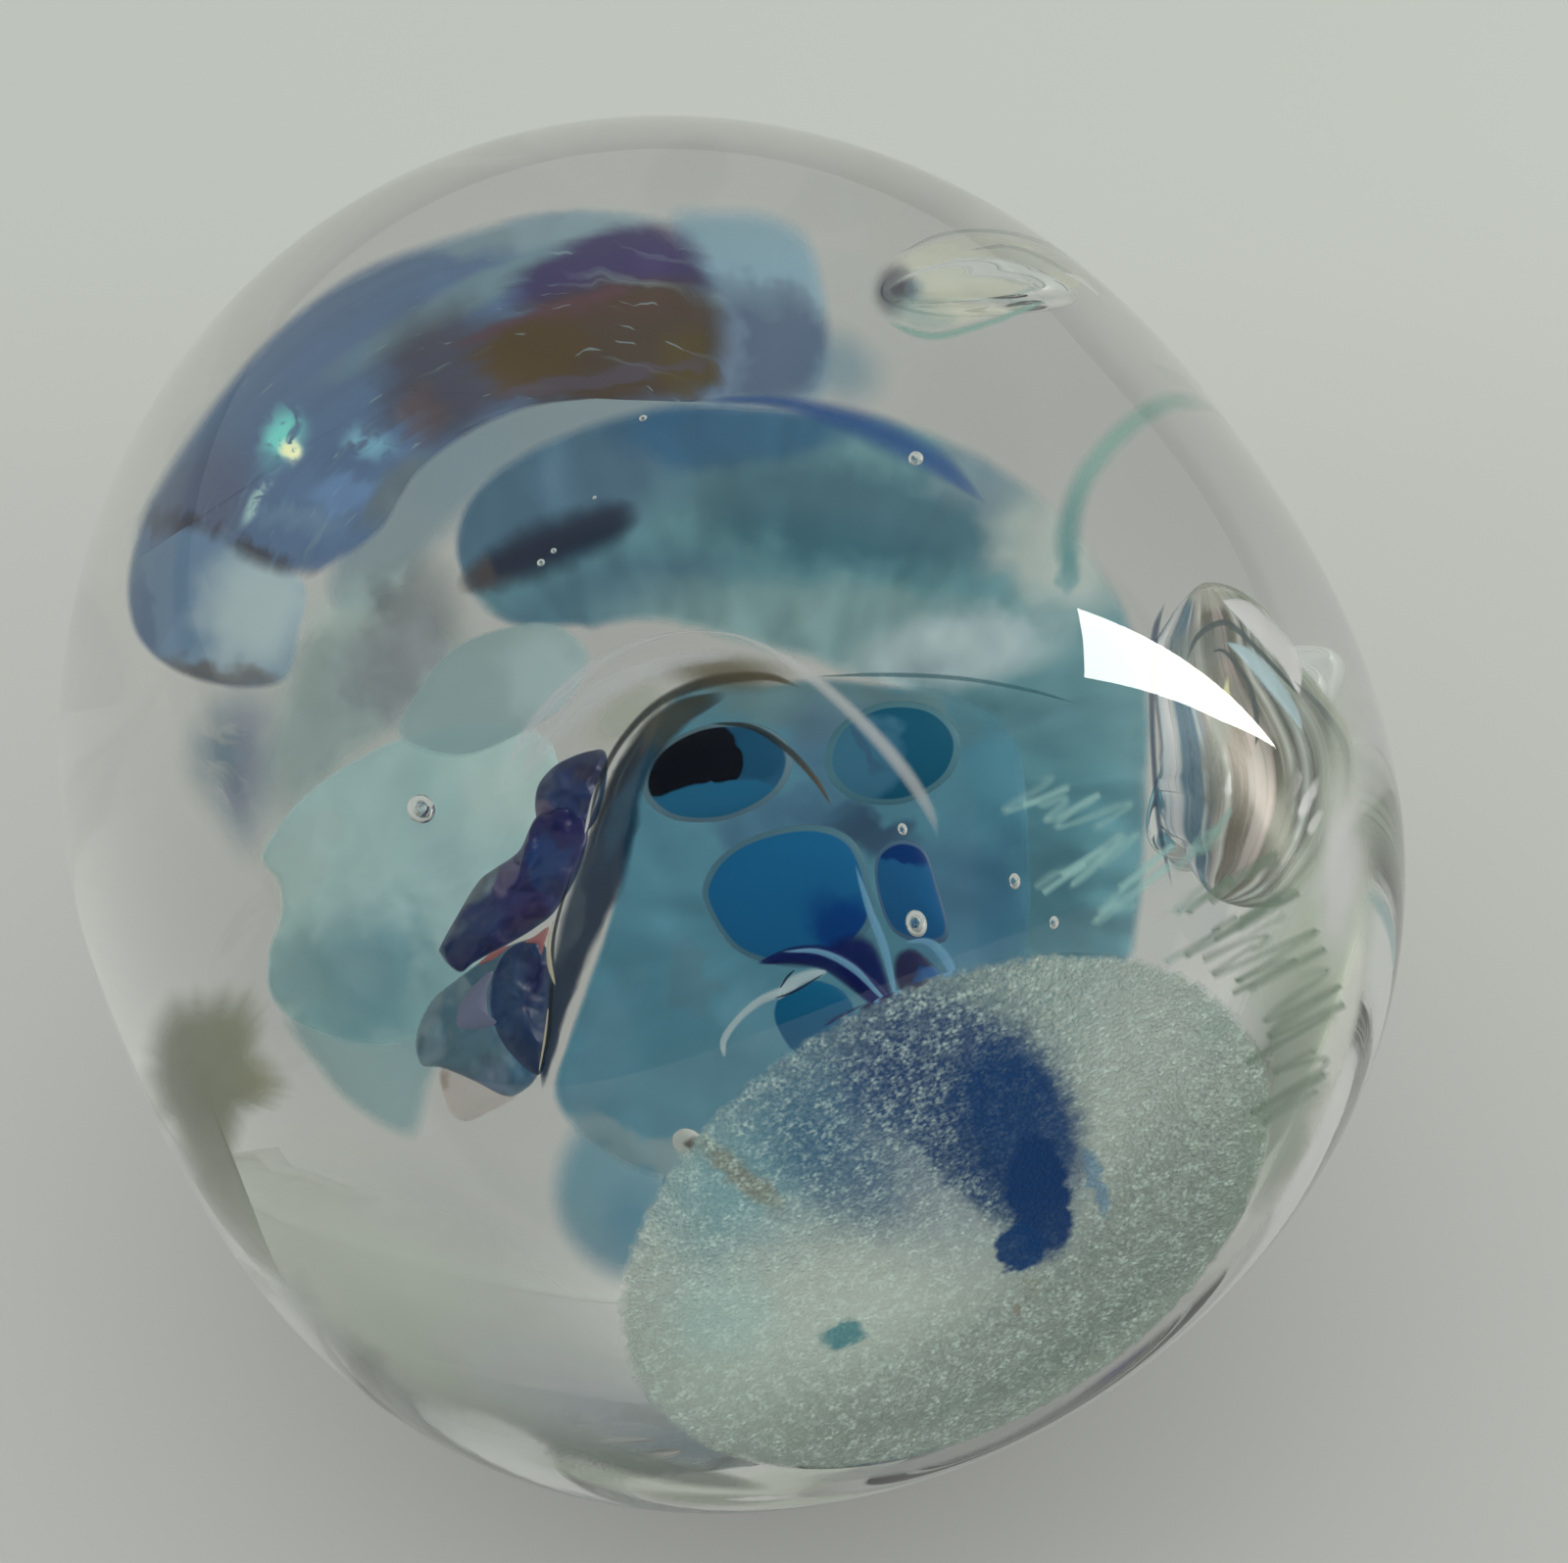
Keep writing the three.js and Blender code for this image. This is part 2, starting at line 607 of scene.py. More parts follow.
@dataclass(frozen=True)
class ClearGlass:
    """Polished clear glass, with the base ground matt and stained by the coloured glass that it cuts, and
    with painted shade and painted light on the base.
    """

    tint: Colour = (0.965, 0.985, 0.97)
    frost: Colour = lit(92, 106, 95)
    frost_shade: Colour = lit(80, 94, 82)
    grain_colour: Colour = lit(162, 178, 168)
    matt_roughness: float = 0.30
    grain: float = 0.36 * MM
    # Stains on the ground face; the first two rows are painted shade and painted light.
    stains: Sequence[Touch] = dabs(
        # Painted shade: the darker lower right of the ground face.
        (1190, 1300, 260, 130, (76, 88, 79), -42, 0.85, 1.5),
        # Painted light: the lit middle of the ground face.
        (820, 1372, 170, 60, (140, 152, 140), -24, 0.5, 1.6),
        (770, 1190, 110, 80, (86, 125, 133), -36, 0.6, 1.2),
        (735, 1340, 52, 44, (103, 139, 137), 0, 0.5, 1.2),
        (900, 1152, 160, 96, (24, 56, 84), 30, 0.85, 1.4),
        (856, 1198, 76, 40, (30, 62, 86), 42, 0.6, 0.95),
        (975, 1090, 120, 78, (8, 36, 70), 26, 0.85, 0.9),
        (1040, 1150, 60, 96, (2, 38, 74), -22, 0.95, 0.6),
        (1000, 1200, 74, 30, (8, 38, 70), 40, 0.85, 0.7),
        (1062, 1222, 32, 64, (0, 34, 70), -8, 1.0, 0.3),
        (1040, 1274, 26, 24, (0, 38, 74), -20, 1.0, 0.3),
        (1119, 1206, 10, 34, (54, 88, 112), -22, 0.7, 0.6),
        (861, 1362, 22, 13, (36, 88, 94), -12, 0.9, 0.6),
        (757, 1200, 54, 12, (88, 82, 66), 40, 0.75, 1.0),
        (1055, 1311, 6, 11, (96, 98, 88), -20, 0.8, 0.8),
        (1037, 1336, 5, 5, (96, 90, 80), 0, 0.8, 0.8),
    )

    def material(self, form: BodyForm, sight: Sightlines) -> bpy.types.Material:
        """Makes the finish.

        Args:
            form: The body, whose ground face it finds.
            sight: The lines of sight, which place the stains on that face.

        Returns:
            The material.
        """
        tree = Tree("polished_and_ground_glass")
        where = tree.place()
        y, z = tree.parts(where, "YZ")
        chips = tree.noise(where, 0.7 * MM, 2.0)
        ground = (y + chips * (0.25 * MM)).step(form.face_y + 0.56 * MM, form.face_y + 0.40 * MM)
        rubbed = z.step(0.02 * MM, 0.005 * MM)
        grains = {"Vector": where, "Scale": 1 / self.grain}
        dot = tree.node("ShaderNodeTexVoronoi", {}, grains, out="Distance")
        fine = dot.step(0.62, 0.14) * 0.55 + tree.noise(where, 0.2 * MM, 1.0).step(0.36, 0.64) * 0.45
        speck = fine * tree.noise(where, 0.9 * MM, 2.0).step(0.40, 0.62)
        smooth = tree.bump(tree.noise(where, 26 * MM, 1.0), 0.4 * MM, 0.3)
        pits = tree.bump(fine, 0.09 * MM)
        colour = tree.mix(tree.noise(where, 5 * MM, 2.0).step(0.3, 0.7) * 0.3, self.frost, self.frost_shade)
        cover = speck * 0.22 + 0.46
        fleck = speck * 0.55 + fine * 0.22
        clouds = {"Vector": where, "Scale": 1 / MM, "Detail": 2.0}
        cloud = tree.node("ShaderNodeTexNoise", {}, clouds, out="Color")
        sway = tree.node("ShaderNodeVectorMath", {"operation": "SCALE"}, {
            0: tree.vector("SUBTRACT", cloud, (0.5, 0.5, 0.5)), "Scale": 1.4 * MM})
        swayed = tree.vector("ADD", where, sway)
        # Stains, and painted shade and painted light, on the ground face.
        for touch in self.stains:
            stain = self._stain(tree, swayed, touch, sight)
            colour = tree.mix(stain, colour, touch.colour)
            cover = cover + stain * (1 - cover) * (0.55 if touch.soft > 1 else 0.97)
            fleck = fleck * (1 - stain * (0.25 if touch.soft > 0.6 else 0.92))
        glass = {"Base Color": self.tint, "IOR": form.refraction, "Transmission Weight": 1.0}
        clear = tree.shader({**glass, "Roughness": rubbed * self.matt_roughness, "Normal": smooth})
        matt = tree.shader({**glass, "Roughness": self.matt_roughness, "Normal": pits})
        powder = tree.shader({"Base Color": tree.mix(fleck, colour, self.grain_colour), "Roughness": 0.7,
                              "Specular IOR Level": 0.2, "Normal": pits})
        frosted = tree.node("ShaderNodeMixShader", {}, {0: cover.clamp(), 1: matt, 2: powder})
        return tree.done(tree.node("ShaderNodeMixShader", {}, {0: ground, 1: clear, 2: frosted}))

    @staticmethod
    def _stain(tree: Tree, where: Val, touch: Touch, sight: Sightlines) -> Val:
        """How much of a touch on the ground face shows at a place: the touches are stains, and some are
        painted shade and painted light.

        Args:
            tree: The material's tree.
            where: The place.
            touch: The touch, as it stands in the picture.
            sight: The lines of sight.

        Returns:
            Its share, from 0 to 1.
        """
        c, s = math.cos(math.radians(touch.tilt)), math.sin(math.radians(touch.tilt))
        ends = [(0.0, 0.0), (c * touch.size[0], s * touch.size[0]), (-s * touch.size[1], c * touch.size[1])]
        u = np.array([touch.at[0] + end[0] for end in ends])
        v = np.array([touch.at[1] + end[1] for end in ends])
        middle, long, wide = sight.on_face(u, v)
        frame_of = np.array([(long - middle)[[0, 2]], (wide - middle)[[0, 2]]]).T
        dual = np.linalg.inv(frame_of)
        local = tree.vector("SUBTRACT", where, tuple(float(share) for share in middle))
        spans = [tree.node("ShaderNodeVectorMath", {"operation": "DOT_PRODUCT"},
                           {0: local, 1: (float(row[0]), 0.0, float(row[1]))}, out="Value") for row in dual]
        out = (spans[0] * spans[0] + spans[1] * spans[1]) ** 0.5
        return out.step(1 + touch.soft / 2, 1 - touch.soft / 2) * touch.share


@dataclass
class GlassBody:
    """The solid glass body."""

    form: BodyForm
    sight: Sightlines
    finish: ClearGlass = field(default_factory=ClearGlass)
    steps_round: int = 288
    crown_steps: int = 64
    shoulder_steps: int = 56

    def outline(self) -> list[Vector]:
        """The half outline, from the middle of the ground face to the top of the crown."""
        form = self.form
        points = [Vector((0, form.face_y, 0)), Vector((0, form.face_y, 0.55 * form.ground_face_radius))]
        points.append(Vector((0, form.face_y, form.ground_face_radius - form.edge_break)))
        reach = form.shoulder_length - form.edge_break
        for step in range(self.shoulder_steps, 0, -1):
            y = form.ring_y - reach * math.sin(math.pi / 2 * step / self.shoulder_steps)
            points.append(Vector((0, y, form.outline_radius(y))))
        for step in range(self.crown_steps + 1):
            y = form.ring_y + form.crown_length * math.sin(math.pi / 2 * step / self.crown_steps)
            points.append(Vector((0, y, form.outline_radius(y))))
        return [point + Vector((0, 0, form.axis_height)) for point in points]

    def turn(self) -> bpy.types.Object:
        """Turns the outline round the body's axis and cuts the flat spot below."""
        deselect()
        points = self.outline()
        bpy.ops.mesh.primitive_plane_add(size=MM, location=points[0])
        bpy.ops.object.transform_apply(location=True, rotation=False, scale=False)
        piece = bpy.context.object
        bpy.ops.object.mode_set(mode="EDIT")
        bpy.ops.mesh.merge(type="CENTER")
        for before, after in zip(points, points[1:]):
            bpy.ops.mesh.extrude_region_move(TRANSFORM_OT_translate={"value": after - before})
        bpy.ops.mesh.select_all(action="SELECT")
        centre = (0, 0, self.form.axis_height)
        bpy.ops.mesh.spin(steps=self.steps_round, angle=math.tau, center=centre, axis=(0, 1, 0))
        bpy.ops.mesh.select_all(action="SELECT")
        bpy.ops.mesh.remove_doubles(threshold=0.002 * MM)
        bpy.ops.mesh.normals_make_consistent(inside=False)
        bpy.ops.mesh.bisect(plane_co=(0, 0, 0), plane_no=(0, 0, 1), use_fill=True, clear_inner=True,
                            threshold=1e-7)
        bpy.ops.mesh.select_all(action="SELECT")
        bpy.ops.mesh.normals_make_consistent(inside=False)
        bpy.ops.object.mode_set(mode="OBJECT")
        return piece

    def smooth(self, piece: bpy.types.Object) -> None:
        """Shades the wall smooth, with crisp edges round the ground face and the flat spot."""
        bpy.ops.object.shade_smooth_by_angle(angle=math.radians(20))
        mesh = piece.data
        low = {v.index for v in mesh.vertices if v.co.z < 0.001 * MM}
        for edge in mesh.edges:
            if edge.vertices[0] in low and edge.vertices[1] in low:
                edge.use_edge_sharp = True

    def build(self) -> bpy.types.Object:
        """Makes the body, which stands for the CAD node."""
        piece = self.turn()
        self.smooth(piece)
        seat(piece, "clear_glass_body", self.finish.material(self.form, self.sight))
        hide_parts(NODE)
        return piece


@dataclass(frozen=True)
class Veil:
    """Coloured glass inside the clear glass, milky or dense, which may thin out towards its rim."""

    core: Colour
    cover: float = 0.9
    fade: float = 0.9
    fade_end: float = 1.0
    turn: Colour | None = None
    drift: Pixel = (0.0, 1.0)
    drift_span: Pixel = (-0.7, 0.7)
    touches: Sequence[Touch] = ()
    rim: Colour | None = None
    rim_span: Pixel = (0.80, 0.92)
    cloudy: float = 0.22
    streak: Colour | None = None
    streak_way: Colour = (1.0, 12.0, 1.0)
    streak_size: float = 1.2
    streak_span: Pixel = (0.52, 0.72)
    roughness: float = 0.45
    gloss: float = 0.15
    sway: float = 12.0

    def material(self, name: str) -> bpy.types.Material:
        """Makes the finish.

        Args:
            name: The material's name.

        Returns:
            The material.
        """
        tree = Tree(name)
        where = tree.place()
        along, across, rim = tree.lay()
        cloud = tree.noise(where, 6 * MM, 2.0)
        shade = tuple(0.7 * share for share in self.core)
        colour = tree.mix(cloud.step(0.3, 0.7) * self.cloudy, self.core, shade)
        if self.turn:
            ramp = along * self.drift[0] + across * self.drift[1] + (cloud - 0.5) * 0.5
            colour = tree.mix(ramp.step(*self.drift_span), colour, self.turn)
        thin = (rim + (cloud - 0.5) * 0.10).step(self.fade_end, self.fade)
        if self.touches:
            seen = tree.seen(self.sway)
            for touch in self.touches:
                spot = tree.spot(seen, touch)
                colour = tree.mix(spot, colour, touch.colour)
                if touch.clear:
                    thin = thin * (1 - spot * touch.clear)
        if self.streak:
            streaks = tree.noise(tree.kept(LAY), self.streak_size, 3.0, 0.3, self.streak_way)
            colour = tree.mix(streaks.step(*self.streak_span), colour, self.streak)
        if self.rim:
            colour = tree.mix(rim.step(*self.rim_span), colour, self.rim)
        film = 1 - math.sqrt(1 - self.cover)
        shader = tree.shader({
            "Base Color": colour,
            "Roughness": self.roughness,
            "Specular IOR Level": self.gloss,
            "Alpha": thin * (cloud * 0.16 + 0.92) * film,
        })
        return tree.done(shader)


@dataclass(frozen=True)
class Foil:
    """Iridescent foil, brushed along its sweep, with touches of violet, brown and amber and a few painted
    glints, which glow.
    """

    base: Colour
    pale: Colour
    touches: Sequence[Touch] = ()
    painted_glints: Sequence[Touch] = ()
    sweep: Pixel = (580.0, 690.0)
    fade: float = 0.88

    def material(self, name: str) -> bpy.types.Material:
        """Makes the finish.

        Args:
            name: The material's name.

        Returns:
            The material.
        """
        tree = Tree(name)
        where = tree.place()
        rim = tree.lay()[2]
        seen = tree.seen(6.0)
        away = tree.vector("SUBTRACT", seen, (self.sweep[0] / 1000, self.sweep[1] / 1000, 0.0))
        x, y = tree.parts(away, "XY")
        angle = y.math("ARCTAN2", x)
        reach = (x * x + y * y) ** 0.5
        polar = tree.node("ShaderNodeCombineXYZ", {}, {0: angle, 1: reach, 2: 0.0})
        brushed = tree.noise(polar, 1.0, 5.0, 0.0, (1.6, 60.0, 1.0))
        flecks = tree.noise(polar, 1.0, 1.0, 0.0, (9.0, 190.0, 1.0))
        fine = tree.noise(where, 0.5 * MM, 2.0)
        shade = tuple(0.75 * share for share in self.base)
        colour = tree.mix(brushed.step(0.35, 0.65) * 0.25, self.base, shade)
        drawn = (brushed - 0.5) * 0.07 / reach
        streaked = tree.vector("ADD", seen, tree.node("ShaderNodeCombineXYZ", {}, {
            0: y * drawn * -1.0, 1: x * drawn, 2: 0.0}))
        for touch in self.touches:
            colour = tree.mix(tree.spot(streaked, touch), colour, touch.colour)
        colour = tree.mix(brushed.step(0.60, 0.76) * 0.35, colour, self.pale)
        colour = tree.mix(flecks.step(0.69, 0.76) * 0.5, colour, self.pale)
        painted_glow, black = 0.0, (0.0, 0.0, 0.0)
        glint = tree.noise(seen, 0.022, 3.0, 0.6)
        # Painted glints: bright spots that also glow by emission.
        for spark in self.painted_glints:
            light = tree.spot(seen, spark) * glint.step(0.36, 0.52)
            colour = tree.mix(light, colour, spark.colour)
            painted_glow = light + painted_glow
        shader = tree.shader({
            "Base Color": colour,
            "Metallic": 0.25 + fine * 0.1,
            "Roughness": 0.40 + (brushed - 0.5) * 0.3,
            "Alpha": (rim + (brushed - 0.5) * 0.06).step(1.0, self.fade) * 0.93,
            "Emission Color": tree.mix(painted_glow.clamp(), black, colour) if self.painted_glints else black,
            "Emission Strength": 0.5,
        })
        return tree.done(shader)


@dataclass(frozen=True)
class PaintedReflection:
    """The skin of a long fluted bubble, with a painted reflection of its surroundings in stripes along it."""

    stops: Sequence[tuple[float, Colour]]
    touches: Sequence[Touch] = ()
    cover: float = 0.9
    wiggle: float = 0.05
    fade: float = 0.93

    def material(self, name: str) -> bpy.types.Material:
        """Makes the finish.

        Args:
            name: The material's name.

        Returns:
            The material.
        """
        tree = Tree(name)
        _, across, rim = tree.lay()
        laid = tree.kept(LAY)
        slow = tree.noise(laid, 1.0, 2.0, 0.3, (1.6, 1.2, 1.0))
        narrow = tree.noise(laid, 1.0, 3.0, 0.2, (0.9, 16.0, 1.0))
        tone = across * 0.5 + 0.5 + (slow - 0.5) * self.wiggle + (narrow - 0.5) * 0.02
        colour = tree.node("ShaderNodeValToRGB", {"stops": self.stops}, {0: tone})
        # Painted reflection: light and dark streaks along the skin.
        colour = tree.mix(narrow.step(0.56, 0.72) * 0.22, colour, lit(186, 190, 184))
        colour = tree.mix(narrow.step(0.44, 0.30) * 0.35, colour, lit(54, 58, 54))
        seen = tree.seen(5.0)
        for touch in self.touches:
            colour = tree.mix(tree.spot(seen, touch), colour, touch.colour)
        film = 1 - math.sqrt(1 - self.cover)
        shader = tree.shader({
            "Base Color": colour,
            "Metallic": 0.2,
            "Roughness": (narrow * 0.4 + 0.1).clamp(),
            "Alpha": rim.step(1.0, self.fade) * film,
        })
        return tree.done(shader)


@dataclass(frozen=True)
class Air:
    """Trapped air, which bends light the other way."""

    refraction: float = 1.5
    roughness: float = 0.0

    def material(self, name: str) -> bpy.types.Material:
        """Makes the finish.

        Args:
            name: The material's name.

        Returns:
            The material.
        """
        tree = Tree(name)
        ripple = tree.noise(tree.place(), 2.2 * MM, 2.0)
        sockets = {"Color": (0.97, 0.985, 0.985), "Roughness": self.roughness, "IOR": 1 / self.refraction,
                   "Normal": tree.bump(ripple, 0.10 * MM, 0.3)}
        return tree.done(tree.node("ShaderNodeBsdfGlass", {}, sockets))


def spline(p0: np.ndarray, p1: np.ndarray, p2: np.ndarray, p3: np.ndarray, t: np.ndarray) -> np.ndarray:
    """The smooth curve from p1 to p2, at shares t of the way, with the points before and after it."""
    return 0.5 * (2 * p1 + (p2 - p0) * t + (2 * p0 - 5 * p1 + 4 * p2 - p3) * t**2
                  + (3 * p1 - p0 - 3 * p2 + p3) * t**3)


def sphere(segments: int, rings: int) -> tuple[bpy.types.Object, np.ndarray]:
    """Adds a round mesh to be laid out.

    Args:
        segments: How many faces it has round it.
        rings: How many rings of them.

    Returns:
        The piece and its vertices' places, one row each, at 1 from its middle.
    """
    deselect()
    bpy.ops.mesh.primitive_uv_sphere_add(segments=segments, ring_count=rings, radius=1.0)
    piece = bpy.context.object
    return piece, np.array([v.co for v in piece.data.vertices])


@dataclass(frozen=True)
class Outline:
    """The closed outline of a sealed piece in the picture, through a few points round its middle."""

    points: Sequence[Pixel]
    middle: Pixel | None = None
    ragged: float = 0.0
    teeth: float = 5.0

    def centre(self) -> Pixel:
        """The outline's middle."""
        if self.middle:
            return self.middle
        return tuple(float(share) for share in np.mean(np.array(self.points, float), axis=0))

    def edge(self, turn: np.ndarray) -> tuple[np.ndarray, np.ndarray]:
        """The outline as a smooth closed curve.

        Args:
            turn: How far round, from 0 to 1.

        Returns:
            Places across and down the picture.
        """
        points = np.array(self.points, float)
        count = len(points)
        spot = (turn % 1.0) * count
        first = np.floor(spot).astype(int)
        share = (spot - first)[:, None]
        p0, p1, p2, p3 = (points[(first + step) % count] for step in (-1, 0, 1, 2))
        curve = spline(p0, p1, p2, p3, share)
        if self.ragged:
            centre = np.array(self.centre())
            away = curve - centre
            wave = [noise.fractal(Vector((math.cos(a) * self.teeth, math.sin(a) * self.teeth, 0.7)),
                                  0.8, 2.0, 3) for a in turn * math.tau]
            reach = np.linalg.norm(away, axis=1, keepdims=True)
            curve = curve + away / np.maximum(reach, 1.0) * (np.array(wave)[:, None] * self.ragged)
        return curve[:, 0], curve[:, 1]


def oval(across: float, down: float, half_width: float, half_height: float, tilt: float = 0.0) -> Outline:
    """An oval outline.

    Args:
        across: Its middle across the picture.
        down: Its middle down the picture.
        half_width: Its half width.
        half_height: Its half height.
        tilt: How far it is turned, in degrees, clockwise in the picture.

    Returns:
        The outline.
    """
    c, s = math.cos(math.radians(tilt)), math.sin(math.radians(tilt))
    ring = []
    for step in range(OVAL_POINTS):
        angle = math.tau * step / OVAL_POINTS
        x, y = half_width * math.cos(angle), half_height * math.sin(angle)
        ring.append((across + c * x - s * y, down + s * x + c * y))
    return Outline(tuple(ring), (across, down))


@dataclass(frozen=True)
class Lie:
    """How deep in the glass a piece lies along the lines of sight."""

    depth: float = 0.5
    ripple: float = 0.0
    ripple_px: float = 90.0

    def where(self, u: np.ndarray, v: np.ndarray) -> tuple[np.ndarray, np.ndarray]:
        """Where points of the piece lie along their lines of sight.

        Args:
            u: Their places across the picture.
            v: Their places down the picture.

        Returns:
            Each point's depth, and how far its ripple, given in millimetres, pushes it deeper, in metres.
        """
        depth, size = np.full(len(u), self.depth), self.ripple_px
        if not self.ripple:
            return depth, np.zeros(len(u))
        waves = [noise.fractal(Vector((x / size, y / size, self.depth * 9)), 0.9, 2.0, 3)
                 for x, y in zip(u, v)]
        return depth, np.array(waves) * (self.ripple * MM)


class Sealed:
    """A piece sealed in the glass, which its own kind lays out along the lines of sight."""

    name: str
    finish: Veil | Foil | PaintedReflection
    slot: Slot

    def build(self, sight: Sightlines) -> bpy.types.Object:
        """Makes and dresses the piece."""
        piece = self.shape(sight)
        face_out(piece)
        return seat(piece, self.name, self.finish.material(self.name + "_finish"))


@dataclass
class Pool(Sealed):
    """A sealed piece with a closed outline: a sheet or lens of glass, thickest in its middle."""

    name: str
    outline: Outline
    lie: Lie
    finish: Veil | Foil | PaintedReflection
    slot: Slot
    thick_mm: float = 0.6
    segments: int = 96
    rings: int = 28

    def shape(self, sight: Sightlines) -> bpy.types.Object:
        """Adds a sphere, flattens it and lays it out along the lines of sight.

        Args:
            sight: The lines of sight.

        Returns:
            The piece.
        """
        piece, ball = sphere(self.segments, self.rings)
        out = np.hypot(ball[:, 0], ball[:, 1])
        turn = np.arctan2(ball[:, 1], ball[:, 0]) / math.tau % 1.0
        centre = self.outline.centre()
        edge_u, edge_v = self.outline.edge(turn)
        u = centre[0] + (edge_u - centre[0]) * out
        v = centre[1] + (edge_v - centre[1]) * out
        depth, push = self.lie.where(u, v)
        push = push + ball[:, 2] * (self.thick_mm * MM)
        placed = sight.place(u, v, depth, push)
        lay_out(piece.data, placed, np.stack((ball[:, 0], ball[:, 1], out), axis=1), u, v)
        return piece


@dataclass
class Ribbon(Sealed):
    """A sealed piece that follows a line: a strip, a thread or an arc."""

    name: str
    spine: Sequence[tuple[float, float, float]]
    lie: Lie
    finish: Veil | Foil | PaintedReflection
    slot: Slot
    thick_mm: float = 0.4
    blunt: float = 3.0
    segments: int = 24
    rings: int = 96
    ragged: float = 0.0

    def follow(self, share: np.ndarray) -> np.ndarray:
        """The spine as a smooth open curve.

        Args:
            share: How far along it, from 0 to 1.

        Returns:
            One row a place: across, down and half width.
        """
        points = np.array(self.spine, float)
        points = np.vstack((2 * points[0] - points[1], points, 2 * points[-1] - points[-2]))
        points[[0, -1], 2] = points[[1, -2], 2]
        count = len(self.spine) - 1
        spot = np.clip(share, 0, 1) * count
        first = np.minimum(spot.astype(int), count - 1)
        t = (spot - first)[:, None]
        p0, p1, p2, p3 = (points[first + step] for step in range(4))
        return spline(p0, p1, p2, p3, t)

    def spread(self) -> tuple[bpy.types.Object, np.ndarray, np.ndarray, np.ndarray, np.ndarray]:
        """Adds a sphere and draws it out along the spine.

        Returns:
            The piece, its vertices' places across and down the picture, how far each is through the strip,
            and how each lies on the piece.
        """
        piece, ball = sphere(self.segments, self.rings)
        share = np.arccos(np.clip(-ball[:, 2], -1, 1)) / math.pi
        girth = np.maximum(np.hypot(ball[:, 0], ball[:, 1]), 1e-6)
        across, through = ball[:, 0] / girth, ball[:, 1] / girth
        along = 2 * share - 1
        taper = np.sqrt(np.maximum(0, 1 - np.abs(along) ** (2 * self.blunt)))
        here = self.follow(share)
        step = 0.004
        ahead = self.follow(share + step)[:, :2] - self.follow(share - step)[:, :2]
        ahead /= np.maximum(np.linalg.norm(ahead, axis=1, keepdims=True), 1e-9)
        half = here[:, 2] * taper
        if self.ragged:
            wave = [noise.fractal(Vector((a * 6, s * 2, 0.3)), 0.8, 2.0, 3) for a, s in zip(along, across)]
            half = half + np.array(wave) * self.ragged * taper
        u = here[:, 0] + ahead[:, 1] * across * half
        v = here[:, 1] - ahead[:, 0] * across * half
        rim = np.clip((across**4 + along**16) ** 0.25, 0, 1)
        return piece, u, v, through * taper, np.stack((along, across, rim), axis=1)

    def shape(self, sight: Sightlines) -> bpy.types.Object:
        """Lays the strip along the lines of sight."""
        piece, u, v, through, laid = self.spread()
        depth, push = self.lie.where(u, v)
        lay_out(piece.data, sight.place(u, v, depth, push + through * (self.thick_mm * MM)), laid, u, v)
        return piece

    def on_wall(self, sight: Sightlines, lift: float) -> bpy.types.Object:
        """Lays the strip on the outside of the wall, with its middle lifted by a distance in metres."""
        piece, u, v, through, laid = self.spread()
        lay_out(piece.data, sight.wall(u, v, lift + through * (self.thick_mm * MM)), laid, u, v)
        face_out(piece)
        return piece


def lay_out(mesh: bpy.types.Mesh, places: np.ndarray, laid: np.ndarray, u: np.ndarray, v: np.ndarray) -> None:
    """Moves a mesh's vertices and keeps where each lies on its piece and in the picture.

    Args:
        mesh: The mesh.
        places: One row a vertex, in metres.
        laid: One row a vertex, from -1 to 1.
        u: Their places across the picture, in pixels.
        v: Their places down the picture.
    """
    mesh.vertices.foreach_set("co", places.astype(np.float32).ravel())
    for name, rows in ((LAY, laid), (SEEN, np.stack((u / 1000, v / 1000, 0 * u), axis=1))):
        attribute = mesh.attributes.new(name, "FLOAT_VECTOR", "POINT")
        attribute.data.foreach_set("vector", rows.astype(np.float32).ravel())
    mesh.update()


def face_out(piece: bpy.types.Object) -> None:
    """Turns a closed piece's faces outwards and shades it smooth."""
    bpy.context.view_layer.objects.active = piece
    piece.select_set(True)
    bpy.ops.object.mode_set(mode="EDIT")
    bpy.ops.mesh.select_all(action="SELECT")
    bpy.ops.mesh.normals_make_consistent(inside=False)
    bpy.ops.object.mode_set(mode="OBJECT")
    bpy.ops.object.shade_smooth()


